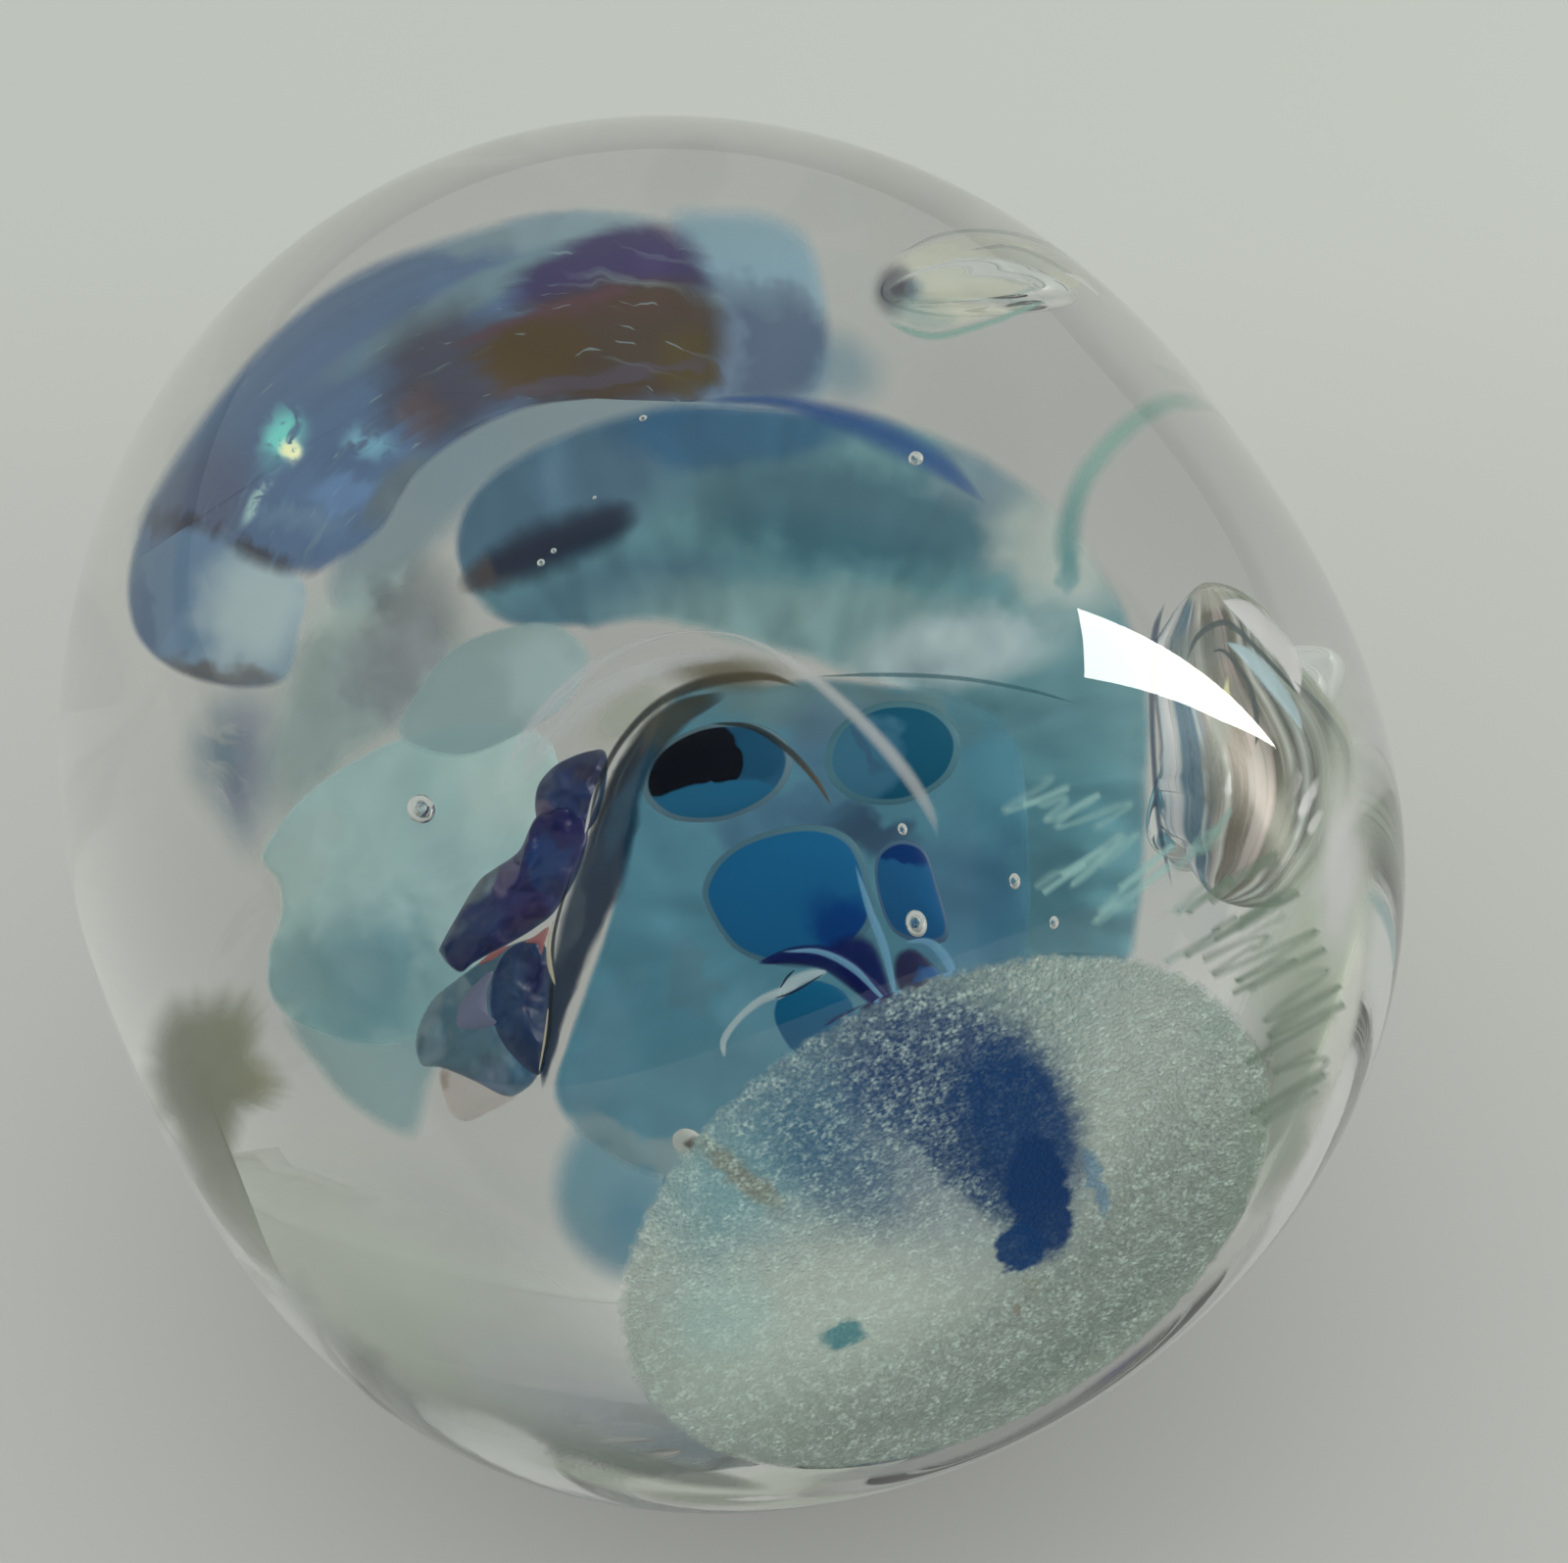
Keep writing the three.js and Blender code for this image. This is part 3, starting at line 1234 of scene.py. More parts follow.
@dataclass
class BlueVeils:
    """The blue and turquoise veils that fill the middle."""

    def arch(self) -> Ribbon:
        """The broad veil that arches over the middle and comes down at the right."""
        finish = Veil(lit(92, 133, 139), 0.97, 0.84, sway=9.0,
            touches=dabs((560, 480, 190, 92, (63, 97, 118), -28, 0.95, 0.7),
            (600, 636, 150, 56, (77, 110, 124), -22, 0.9, 0.6),
            (750, 436, 120, 44, (27, 81, 113), -4, 0.9, 0.6),
            (872, 526, 180, 50, (48, 88, 102), 8, 0.85, 0.8),
            (850, 640, 210, 44, (122, 150, 149), 4, 0.95, 0.8),
            (975, 662, 95, 36, (168, 198, 189), -8, 0.9, 0.9),
            # A pale veil edge, with painted reflection in it.
            (1085, 556, 66, 56, (162, 171, 163), 40, 0.85, 1.2, 0.5),
            (1000, 480, 46, 40, (104, 119, 131), 30, 0.6, 0.9, 0.2),
            (1092, 580, 10, 24, (70, 124, 128), 10, 0.8, 0.7),
            (1060, 880, 86, 110, (69, 119, 131), 0, 0.7, 1.0),
            (1135, 900, 30, 120, (90, 138, 146), 0, 0.8, 0.9),
            (985, 830, 40, 80, (46, 82, 101), -8, 0.9, 0.9)))
        return Ribbon("arching_blue_veil", ((482, 620, 78), (560, 556, 100), (680, 524, 116), (800, 538, 132),
            (910, 562, 136), (1010, 622, 128), (1068, 716, 112), (1082, 826, 92), (1078, 930, 88),
            (1068, 1040, 92)), Lie(0.64, ripple=0.5), finish, Slot.BLUE, 0.5, 9.0, 40, 160, 4.0)

    def middle(self) -> Pool:
        """The milky blue lobe in the middle."""
        finish = Veil(lit(76, 124, 138), 0.97, 0.955, cloudy=0.14, sway=16.0,
            touches=dabs((700, 870, 80, 56, (83, 131, 144), -40, 0.8, 1.0),
            (850, 720, 150, 34, (94, 122, 124), 6, 0.9, 0.8), (860, 760, 60, 50, (67, 95, 120), 20, 0.6, 1.0),
            (868, 842, 66, 22, (39, 63, 86), 14, 0.85, 0.8),
            (800, 832, 70, 24, (67, 103, 125), -10, 0.8, 0.9),
            (985, 925, 62, 74, (66, 107, 130), 0, 0.8, 1.0), (772, 1036, 34, 34, (87, 132, 146), 0, 0.8, 0.9),
            (705, 1000, 20, 40, (78, 114, 124), -20, 0.7, 1.0),
            (615, 1070, 30, 70, (87, 126, 140), 20, 0.7, 1.0),
            (640, 1172, 90, 22, (116, 136, 138), 22, 0.85, 0.9, 0.2),
            (760, 1160, 60, 30, (84, 120, 128), -30, 0.6, 1.0)))
        return Pool("middle_blue_veil", Outline(((690, 706), (800, 690), (900, 692), (985, 706), (1040, 760),
            (1050, 870), (1052, 960), (1040, 1050), (940, 1130), (830, 1180), (700, 1206), (612, 1180),
            (564, 1122), (580, 1060), (602, 990), (626, 910), (640, 820)), (800, 950)), Lie(0.56, ripple=0.4),
            finish, Slot.BLUE, 0.6, 144, 36)

    def lobe(self) -> Pool:
        """The paler lobe below it."""
        finish = Veil(lit(86, 133, 145), 0.86, 0.55,
            touches=dabs((650, 1262, 44, 46, (39, 107, 129), 0, 0.8, 1.2)))
        return Pool("lower_blue_lobe", Outline(((572, 1150), (553, 1215), (566, 1270), (604, 1308),
            (650, 1322), (690, 1290), (704, 1220), (670, 1150), (610, 1120))), Lie(0.62), finish, Slot.BLUE,
            0.5)

    def pieces(self) -> list[Sealed]:
        """The veils, from back to front."""
        navy = Veil(lit(4, 18, 42), 0.96, 0.05, fade_end=0.9, roughness=0.7,
            touches=dabs((482, 596, 26, 30, (70, 60, 56), -30, 0.7, 1.0)))
        cobalt = Veil(lit(24, 68, 118), 0.9, 0.0)
        return [
            self.arch(),
            Ribbon("navy_streak", ((462, 604, 14), (502, 582, 34), (552, 560, 42), (606, 540, 38),
                (660, 518, 22)), Lie(0.58), navy, Slot.BLUE, 0.4, 4.0, ragged=4.0),
            Ribbon("cobalt_streak", ((700, 408, 5), (780, 408, 9), (840, 420, 17), (900, 442, 24),
                (960, 474, 20), (1010, 516, 6)), Lie(0.58), cobalt, Slot.BLUE, 0.4, 2.0),
            self.lobe(),
            self.middle(),
        ]


@dataclass
class Windows:
    """The clear-edged ovals in the veil, with the darker glass that shows through them and a painted dark
    reflection in the darkest one.
    """

    halo: Colour = lit(74, 110, 122)

    def pieces(self) -> list[Sealed]:
        """The ovals and what shows in them."""
        blue = Veil(lit(23, 90, 130), cover=0.99, rim=self.halo, rim_span=(0.89, 0.92), fade=0.96,
            cloudy=0.08, touches=dabs((868, 955, 50, 34, (5, 51, 109), 30, 0.9, 1.0)))
        slate = Veil(lit(29, 84, 125), cover=0.98, rim=lit(74, 100, 122), rim_span=(0.88, 0.93), fade=0.97,
            cloudy=0.08, touches=dabs((925, 872, 24, 13, (4, 40, 92), 22, 0.95, 0.4)))
        teal = Veil(lit(17, 77, 100), cover=0.98, rim=lit(76, 116, 126), rim_span=(0.86, 0.89), fade=0.96,
            cloudy=0.08, touches=dabs((878, 778, 40, 46, (62, 108, 130), 40, 0.85, 0.35),
            (884, 764, 30, 8, (55, 86, 109), 52, 0.8, 0.7)))
        dark = Veil(lit(40, 83, 111), cover=0.99, rim=lit(92, 118, 128), rim_span=(0.88, 0.92), fade=0.975,
            cloudy=0.08, sway=3.0, touches=dabs((770, 766, 34, 30, (23, 69, 95), 20, 0.9, 0.4),
            # Near-black touches: painted dark reflection.
            (694, 775, 60, 34, (3.3, 4.9, 12.9), -22, 1.0, 0.08),
            (735, 776, 26, 22, (3.3, 4.9, 12.9), 40, 1.0, 0.12),
            (725, 823, 76, 24, (34, 94, 124), -10, 1.0, 0.14)))
        return [
            Pool("dark_window", oval(731, 788, 80, 50, -14), Lie(0.50), dark, Slot.BLUE, 0.5),
            Pool("teal_window", oval(911, 769, 72, 54, -12), Lie(0.50), teal, Slot.BLUE, 0.5),
            Pool("blue_window", Outline(((716, 920), (722, 888), (748, 862), (790, 846), (836, 842),
                (872, 858), (890, 900), (892, 945), (850, 984), (800, 988), (748, 970)), (802, 916)),
                Lie(0.49), blue, Slot.BLUE, 0.5),
            Pool("slate_window", Outline(((894, 905), (896, 872), (918, 858), (944, 868), (958, 908),
                (968, 955), (944, 964), (910, 950)), (926, 908)), Lie(0.48), slate, Slot.BLUE, 0.5),
        ]


@dataclass
class Swirl:
    """The navy swirl that the windows run into, with fine pale lines."""

    def pieces(self) -> list[Sealed]:
        """The swirl's arms and threads."""
        navy = Veil(lit(14, 24, 72), 0.97, 0.62, cloudy=0.1,
            touches=dabs((905, 1020, 22, 12, (10, 34, 96), 0, 0.8, 0.8)))
        plum = Veil(lit(36, 32, 64), 0.95, 0.75,
            touches=dabs((952, 1006, 22, 20, (30, 82, 132), 30, 0.9, 0.6)))
        teal = Veil(lit(14, 84, 116), 0.98, 0.93, cloudy=0.1)
        light = Veil(lit(112, 158, 184), 0.75, 0.3)
        white = Veil(lit(168, 192, 192), 0.85, 0.2)
        shade = Veil(lit(20, 34, 50), 0.9, 0.4)
        return [
            Pool("teal_chip", Outline(((800, 1010), (830, 1000), (862, 1012), (872, 1034), (850, 1052),
                (840, 1078), (812, 1076), (790, 1040)), (830, 1040)), Lie(0.47), teal, Slot.BLUE, 0.4),
            Pool("navy_pool", Outline(((842, 966), (868, 950), (892, 958), (906, 990), (914, 1022),
                (896, 1034), (866, 1008)), (882, 992)), Lie(0.46), navy, Slot.BLUE, 0.5),
            Ribbon("navy_arc", ((772, 984, 5), (812, 976, 11), (846, 980, 14), (878, 1002, 14),
                (904, 1024, 11), (916, 1030, 5)), Lie(0.455), navy, Slot.BLUE, 0.5),
            Ribbon("navy_arm", ((838, 1072, 5), (850, 1054, 12), (876, 1040, 13), (906, 1030, 12),
                (930, 1024, 7)), Lie(0.45), navy, Slot.BLUE, 0.5),
            Pool("plum_root", Outline(((914, 972), (932, 966), (954, 984), (974, 1012), (958, 1024),
                (934, 1030), (918, 1016), (910, 992))), Lie(0.44), plum, Slot.BLUE, 0.5),
            Ribbon("pale_thread_one", ((796, 972, 2), (836, 972, 4), (870, 988, 5), (896, 1014, 3),
                (908, 1026, 1.5)), Lie(0.43), light, Slot.TURQUOISE, 0.15),
            Ribbon("pale_thread_two", ((872, 880, 2.5), (888, 930, 5), (902, 966, 6), (910, 1000, 4),
                (914, 1024, 2)), Lie(0.43), light, Slot.TURQUOISE, 0.15),
            Ribbon("pale_thread_three", ((922, 962, 2), (948, 962, 5), (966, 980, 7), (978, 1008, 4)),
                Lie(0.43), light, Slot.TURQUOISE, 0.15),
            Ribbon("star_light", ((794, 1022, 3), (806, 1006, 9), (828, 996, 8), (846, 992, 3)), Lie(0.435),
                white, Slot.TURQUOISE, 0.2),
            Ribbon("star_shade_one", ((790, 1020, 1), (812, 1012, 1.8), (842, 994, 1)), Lie(0.43), shade,
                Slot.BLUE, 0.1),
            Ribbon("star_shade_two", ((796, 1010, 1), (804, 998, 1.8), (812, 990, 1)), Lie(0.43), shade,
                Slot.BLUE, 0.1),
            Ribbon("white_tail", ((740, 1082, 3), (739, 1062, 5), (754, 1040, 5), (776, 1022, 6),
                (800, 1012, 7), (822, 1002, 3)), Lie(0.44), white, Slot.TURQUOISE, 0.25),
        ]


@dataclass
class Petals:
    """The pale turquoise petals at the left."""

    def pieces(self) -> list[Sealed]:
        """The petals and the thin sheets round them."""
        petal = Veil(lit(157, 182, 179), 0.93, 0.95, cloudy=0.1, sway=18.0,
            touches=dabs((372, 1004, 88, 70, (96, 135, 142), -8, 0.95, 1.2),
            (310, 1010, 60, 44, (110, 142, 147), 20, 0.7, 1.0),
            (520, 790, 60, 50, (168, 184, 177), -30, 0.8, 1.0),
            (300, 880, 36, 60, (153, 170, 165), 30, 0.7, 1.0),
            (352, 890, 9, 80, (149, 175, 173), 28, 0.6, 1.0),
            (460, 1030, 40, 50, (120, 152, 152), 0, 0.7, 1.0)))
        edge = Veil(lit(184, 186, 172), 0.4, 0.0)
        upper = Veil(lit(136, 158, 157), 0.85, 0.9,
            touches=dabs((560, 690, 50, 50, (155, 176, 174), 0, 0.9, 1.0)))
        trail = Veil(lit(113, 144, 146), 0.78, 0.7)
        grey = Veil(lit(134, 150, 146), 0.84, 0.5, sway=22.0,
            touches=dabs((440, 606, 58, 50, (96, 104, 103), -20, 0.9, 1.0),
            (404, 690, 50, 52, (113, 121, 126), 0, 0.85, 1.0),
            (338, 610, 50, 34, (164, 181, 173), -20, 0.8, 1.0, 0.4),
            (430, 640, 26, 60, (107, 111, 116), 20, 0.5, 1.0)))
        grey_arch = Veil(lit(115, 133, 138), 0.85, 0.35,
            touches=dabs((470, 480, 60, 30, (111, 133, 141), -40, 0.8, 1.0)))
        violet = Veil(lit(88, 114, 130), 0.82, 0.1, streak=lit(132, 140, 142), streak_way=(1.2, 5.0, 1.0),
            streak_span=(0.5, 0.66), touches=dabs((250, 780, 16, 60, (93, 104, 124), 10, 0.8, 1.0)))
        return [
            Pool("grey_sheet", Outline(((292, 640), (322, 588), (396, 556), (462, 550), (500, 640),
                (470, 710), (410, 760), (350, 800), (300, 850), (262, 872), (240, 836), (246, 770),
                (268, 700)), (370, 690), 4.0), Lie(0.66, ripple=0.5), grey, Slot.TURQUOISE, 0.4),
            Ribbon("grey_arch", ((350, 640, 30), (372, 590, 50), (420, 520, 58), (490, 462, 52),
                (570, 430, 44), (660, 418, 32), (740, 414, 20)), Lie(0.68), grey_arch, Slot.TURQUOISE, 0.4,
                3.0, 32, 96, 3.0),
            Pool("violet_smear", Outline(((176, 750), (204, 704), (246, 676), (286, 690), (296, 750),
                (280, 860), (250, 900), (206, 850), (176, 800))), Lie(0.55), violet, Slot.FOIL, 0.4),
            Pool("trailing_petal", Outline(((282, 1030), (316, 1092), (356, 1134), (424, 1168), (446, 1112),
                (462, 1050), (380, 1000))), Lie(0.66), trail, Slot.TURQUOISE, 0.4),
            Pool("large_petal", Outline(((302, 1048), (272, 1014), (272, 968), (284, 930), (280, 900),
                (264, 874), (302, 820), (350, 782), (420, 748), (500, 735), (560, 756), (572, 820),
                (540, 900), (500, 980), (470, 1050), (426, 1066), (372, 1071)), (400, 910)),
                Lie(0.60, ripple=0.4), petal, Slot.TURQUOISE, 0.6, 128, 32),
            Ribbon("petal_edge", ((228, 852, 2), (258, 872, 5), (281, 906, 6), (281, 944, 5), (271, 976, 2)),
                Lie(0.59), edge, Slot.TURQUOISE, 0.2),
            Pool("upper_petal", Outline(((404, 752), (424, 704), (456, 664), (506, 640), (566, 634),
                (606, 668), (580, 720), (530, 752), (466, 774))), Lie(0.58), upper, Slot.TURQUOISE, 0.4),
        ]


@dataclass
class FoilBand:
    """The iridescent band that curls round the upper left."""

    def band(self) -> Pool:
        """The band itself."""
        foil = Foil(lit(81, 108, 141), lit(128, 150, 155),
            touches=dabs((478, 302, 150, 17, (108, 136, 147), -30, 0.9, 1.0),
            (580, 232, 130, 20, (125, 149, 158), -6, 0.95, 0.9),
            (205, 512, 44, 62, (78, 87, 114), 36, 0.8, 1.0), (455, 382, 66, 66, (56, 54, 68), -30, 0.9, 0.9),
            (640, 272, 112, 40, (45, 32, 82), -13, 0.97, 0.5),
            (632, 352, 142, 62, (58, 42, 24), -8, 0.97, 0.5), (560, 322, 90, 10, (76, 46, 58), -18, 0.8, 0.8),
            (545, 362, 56, 34, (66, 48, 10), -22, 0.9, 0.6), (704, 372, 34, 36, (66, 54, 14), 0, 0.85, 0.8),
            (640, 318, 80, 12, (64, 44, 36), -8, 0.7, 1.0), (610, 386, 110, 9, (70, 63, 78), -10, 0.7, 0.8),
            (434, 424, 24, 30, (86, 66, 62), 10, 0.5, 1.0), (350, 506, 28, 20, (99, 132, 172), 0, 0.8, 1.0),
            (300, 530, 44, 12, (108, 136, 158), 8, 0.5, 1.6),
            (405, 500, 44, 18, (94, 108, 112), -48, 0.8, 1.0),
            (240, 566, 90, 16, (40, 33, 41), 24, 0.85, 1.2)),
            # Painted glints on the foil, which glow.
            painted_glints=dabs((288, 446, 18, 24, (88, 176, 158), 20, 0.75, 1.7),
            (296, 462, 9, 14, (200, 255, 140), 20, 1.0, 1.2),
            (378, 452, 22, 13, (96, 146, 154), 20, 0.6, 1.7),
            (264, 512, 7, 26, (124, 150, 140), 32, 0.8, 1.2)))
        return Pool("foil_band", Outline(((128, 577), (133, 532), (168, 470), (219, 400), (286, 326),
            (357, 274), (434, 243), (536, 215), (612, 206), (694, 222), (736, 268), (750, 330), (744, 404),
            (660, 404), (600, 408), (541, 418), (474, 449), (424, 490), (386, 548), (322, 590), (286, 592),
            (250, 580), (214, 556), (170, 545)), (400, 400)), Lie(0.62, ripple=0.4), foil, Slot.FOIL, 0.5,
            192, 40)

    def pieces(self) -> list[Sealed]:
        """The band, its lower lobe and the pale glass at its end."""
        lobe = Veil(lit(92, 123, 150), 0.93, 0.9, cloudy=0.1,
            touches=dabs((262, 622, 52, 66, (164, 187, 187), 20, 0.95, 1.1, 0.3),
            (140, 640, 16, 50, (41, 80, 124), -10, 0.7, 1.0), (216, 690, 90, 14, (78, 68, 61), 9, 0.8, 1.3)))
        pale = Veil(lit(116, 148, 161), 0.9, 0.74, cloudy=0.1,
            touches=dabs((780, 356, 74, 62, (53, 75, 104), -4, 0.95, 0.7),
            (776, 300, 60, 16, (75, 101, 119), 10, 0.6, 1.0),
            (745, 360, 16, 40, (92, 115, 139), 0, 0.6, 1.0)))
        haze = Veil(lit(73, 114, 128), 0.62, 0.1)
        return [
            Pool("soft_blue_haze", oval(856, 372, 70, 52, 30), Lie(0.66), haze, Slot.TURQUOISE, 0.4),
            Pool("pale_end_patch", Outline(((676, 214), (740, 206), (800, 216), (838, 250), (854, 330),
                (844, 412), (780, 424), (710, 414), (704, 310)), (772, 320)), Lie(0.64), pale, Slot.TURQUOISE,
                0.4),
            Pool("foil_lower_lobe", Outline(((164, 500), (136, 548), (125, 586), (126, 624), (138, 656),
                (166, 680), (206, 696), (256, 704), (296, 694), (308, 650), (310, 590), (232, 540)),
                (218, 610)), Lie(0.67), lobe, Slot.FOIL, 0.4),
            self.band(),
        ]


@dataclass
class Crumple:
    """The crumpled plum strip and the smoky glass beside it."""

    def lower(self) -> list[Sealed]:
        """The strip's lower folds."""
        grey = Veil(lit(65, 95, 108), 0.96, 0.95, roughness=0.3, gloss=0.4, cloudy=0.1,
            touches=dabs((440, 1060, 16, 34, (101, 123, 131), 0, 0.9, 0.9),
            (508, 1100, 20, 12, (79, 99, 117), 20, 0.9, 0.6),
            (540, 1080, 18, 34, (25, 72, 97), -10, 0.8, 0.8)))
        deep = Veil(lit(29, 46, 76), 0.98, 0.97, roughness=0.3, gloss=0.4, cloudy=0.1,
            touches=dabs((512, 1030, 10, 34, (22, 48, 80), 0, 0.9, 0.9),
            (545, 1000, 12, 30, (27, 18, 60), 0, 0.6, 1.0)))
        lilac = Veil(lit(104, 108, 126), 0.95, 0.95, cloudy=0.1)
        beige = Veil(lit(158, 148, 140), 0.7, 0.85,
            touches=dabs((455, 1098, 12, 10, (108, 88, 68), 0, 0.9, 1.0)))
        return [
            Pool("beige_facet", Outline(((450, 1088), (490, 1098), (530, 1116), (500, 1136), (474, 1146),
                (456, 1130))), Lie(0.52), beige, Slot.TURQUOISE, 0.3),
            Pool("crumple_lower_fold", Outline(((470, 996), (440, 1022), (425, 1056), (430, 1086),
                (452, 1090), (486, 1104), (514, 1118), (530, 1116), (550, 1096), (558, 1050), (562, 1000),
                (552, 958), (510, 968)), (500, 1040)), Lie(0.50, ripple=0.8, ripple_px=45), grey, Slot.FOIL,
                1.4),
            Pool("crumple_lower_core", Outline(((512, 976), (534, 960), (556, 964), (562, 1000), (560, 1056),
                (552, 1096), (530, 1084), (508, 1054), (500, 1014))), Lie(0.475, ripple=0.6, ripple_px=40),
                deep, Slot.FOIL, 1.0),
            Pool("lilac_window", Outline(((504, 990), (498, 1014), (500, 1036), (508, 1044), (492, 1050),
                (468, 1048), (470, 1024), (488, 1002)), (486, 1026)), Lie(0.468), lilac, Slot.FOIL, 0.3),
        ]

    def upper(self) -> list[Sealed]:
        """The strip's middle and upper folds."""
        plum = Veil(lit(31, 30, 72), 0.98, 0.97, roughness=0.3, gloss=0.4, cloudy=0.1,
            touches=dabs((556, 880, 18, 26, (28, 51, 93), -20, 0.9, 0.5),
            (585, 905, 22, 50, (42, 50, 84), 20, 0.8, 0.8), (513, 893, 12, 28, (80, 74, 102), 22, 0.95, 0.4),
            (490, 902, 9, 26, (90, 102, 108), 24, 0.95, 0.4),
            (456, 962, 10, 26, (101, 118, 124), 20, 0.9, 0.6), (480, 944, 22, 26, (35, 48, 81), 20, 0.8, 0.9),
            (540, 940, 20, 16, (30, 13, 57), 0, 0.6, 1.0)))
        top = Veil(lit(29, 40, 72), 0.98, 0.97, roughness=0.3, gloss=0.4, cloudy=0.1,
            touches=dabs((578, 808, 22, 26, (29, 45, 82), 0, 0.8, 0.7),
            (554, 828, 9, 12, (80, 70, 93), 0, 0.8, 0.9), (606, 786, 12, 14, (29, 24, 52), 0, 0.7, 1.0)))
        salmon = Veil(lit(140, 92, 90), 0.92, 0.7)
        return [
            Pool("crumple_middle_fold", Outline(((549, 830), (530, 866), (506, 884), (490, 896), (474, 920),
                (450, 962), (448, 976), (468, 994), (484, 984), (520, 964), (548, 946), (568, 928),
                (590, 890), (600, 846), (584, 824)), (526, 908)), Lie(0.49, ripple=0.8, ripple_px=45), plum,
                Slot.FOIL, 1.4),
            Pool("crumple_upper_fold", Outline(((618, 768), (602, 766), (578, 774), (562, 784), (548, 802),
                (545, 826), (552, 842), (584, 852), (606, 840), (618, 800)), (582, 808)),
                Lie(0.495, ripple=0.6, ripple_px=40), top, Slot.FOIL, 1.2),
            Ribbon("salmon_fold_one", ((488, 985, 1.5), (504, 975, 4), (520, 965, 1.5)), Lie(0.465), salmon,
                Slot.FOIL, 0.2),
            Pool("salmon_fold_two", Outline(((534, 962), (546, 954), (561, 944), (557, 962), (553, 976),
                (548, 964))), Lie(0.462), salmon, Slot.FOIL, 0.2),
        ]

    def smoke(self) -> list[Sealed]:
        """The smoky glass beside the strip, with painted highlight streaks on it."""
        smoke = Veil(lit(8, 34, 56), 0.93, 0.6, streak=lit(44, 66, 76), streak_way=(1.2, 3.4, 1.0),
            streak_span=(0.60, 0.72), roughness=0.5, gloss=0.1,
            touches=dabs((690, 730, 60, 24, (62, 62, 50), -36, 0.8, 1.0),
            (618, 812, 9, 60, (14, 22, 28), 28, 0.8, 0.6), (640, 820, 10, 60, (30, 66, 84), 24, 0.7, 0.9),
            (584, 930, 9, 60, (52, 66, 76), 18, 0.7, 0.9)))
        olive = Veil(lit(92, 86, 66), 0.86, 0.1)
        shine = Veil(lit(236, 240, 234), 0.97, 0.3)
        cream = Veil(lit(176, 168, 146), 0.9, 0.3)
        line = Veil(lit(30, 38, 44), 0.9, 0.4)
        return [
            Pool("olive_smudge", oval(742, 686, 86, 26, 3), Lie(0.44), olive, Slot.FOIL, 0.3),
            Ribbon("smoky_strip", ((553, 1114, 5), (561, 1066, 9), (576, 1000, 17), (598, 930, 26),
                (620, 870, 28), (632, 822, 24), (650, 776, 20), (688, 732, 18), (745, 706, 13)),
                Lie(0.45, ripple=0.4), smoke, Slot.AIR, 0.6, 4.0, 32, 128, 3.0),
            Ribbon("smoky_edge", ((548, 1100, 2), (560, 1060, 3), (563, 1010, 3), (566, 950, 2.5),
                (586, 880, 2)), Lie(0.44), line, Slot.AIR, 0.2),
            # Painted highlights: a white streak and cream streaks along the strip.
            Ribbon("smoky_shine", ((613, 792, 1.5), (607, 812, 4), (601, 832, 3), (596, 852, 1.5)), Lie(0.43),
                shine, Slot.AIR, 0.15),
            Ribbon("smoky_cream", ((565, 938, 1), (560, 962, 2.5), (561, 984, 3.5), (567, 1008, 1.5)),
                Lie(0.43), cream, Slot.AIR, 0.15),
            Ribbon("smoky_cream_line", ((550, 1096, 1), (556, 1060, 1.6), (560, 1026, 1)), Lie(0.43), cream,
                Slot.AIR, 0.1),
        ]

    def pieces(self) -> list[Sealed]:
        """The folds, from back to front."""
        return [*self.lower(), *self.upper(), *self.smoke()]


@dataclass
class Dome:
    """The edges of the domed bubble in the middle."""

    def pieces(self) -> list[Sealed]:
        """The dome's painted highlight arc, its dark rim and the cream light in it."""
        # Painted highlight along the dome's edge.
        bright = Veil(lit(218, 218, 180), turn=lit(214, 234, 218), drift=(-1.0, 0.0), drift_span=(0.0, 1.0),
            cover=0.72, fade=0.0, roughness=0.7)
        rim = Veil(lit(34, 42, 42), turn=lit(76, 68, 54), drift=(1.0, 0.0), drift_span=(-0.2, 0.8), cover=0.9,
            fade=0.3)
        cream = Veil(lit(160, 162, 148), 0.75, 0.25)
        haze = Veil(lit(186, 204, 196), 0.5, 0.1)
        line = Veil(lit(52, 92, 100), 0.75, 0.3)
        return [
            Pool("dome_light", oval(640, 728, 66, 32, -38), Lie(0.47), cream, Slot.AIR, 0.3),
            Ribbon("dome_haze", ((530, 800, 14), (560, 750, 20), (612, 704, 20), (690, 674, 14),
                (760, 668, 10)), Lie(0.43), haze, Slot.AIR, 0.3),
            Ribbon("dome_dark_rim", ((598, 856, 2), (611, 800, 3.5), (634, 756, 4.5), (672, 718, 6),
                (722, 696, 8), (780, 690, 6), (820, 702, 3)), Lie(0.42), rim, Slot.AIR, 0.3),
            Ribbon("dome_inner_rim", ((722, 738, 2), (766, 742, 4), (802, 764, 5), (832, 796, 4),
                (850, 826, 1.5)), Lie(0.42), rim, Slot.AIR, 0.3),
            Ribbon("dome_veil_line", ((820, 690, 1), (900, 688, 3), (980, 692, 3), (1050, 704, 2.5),
                (1100, 718, 1.5)), Lie(0.42), line, Slot.AIR, 0.2),
            Ribbon("dome_bright_arc", ((512, 812, 5), (528, 764, 9), (560, 720, 11), (600, 684, 10),
                (640, 661, 6), (692, 646, 2.5), (744, 647, 2.5), (784, 662, 5), (822, 686, 9), (860, 718, 10),
                (898, 757, 11), (929, 796, 11), (950, 832, 9), (958, 860, 5)), Lie(0.38), bright, Slot.AIR,
                0.3, 3.0, 24, 160),
        ]


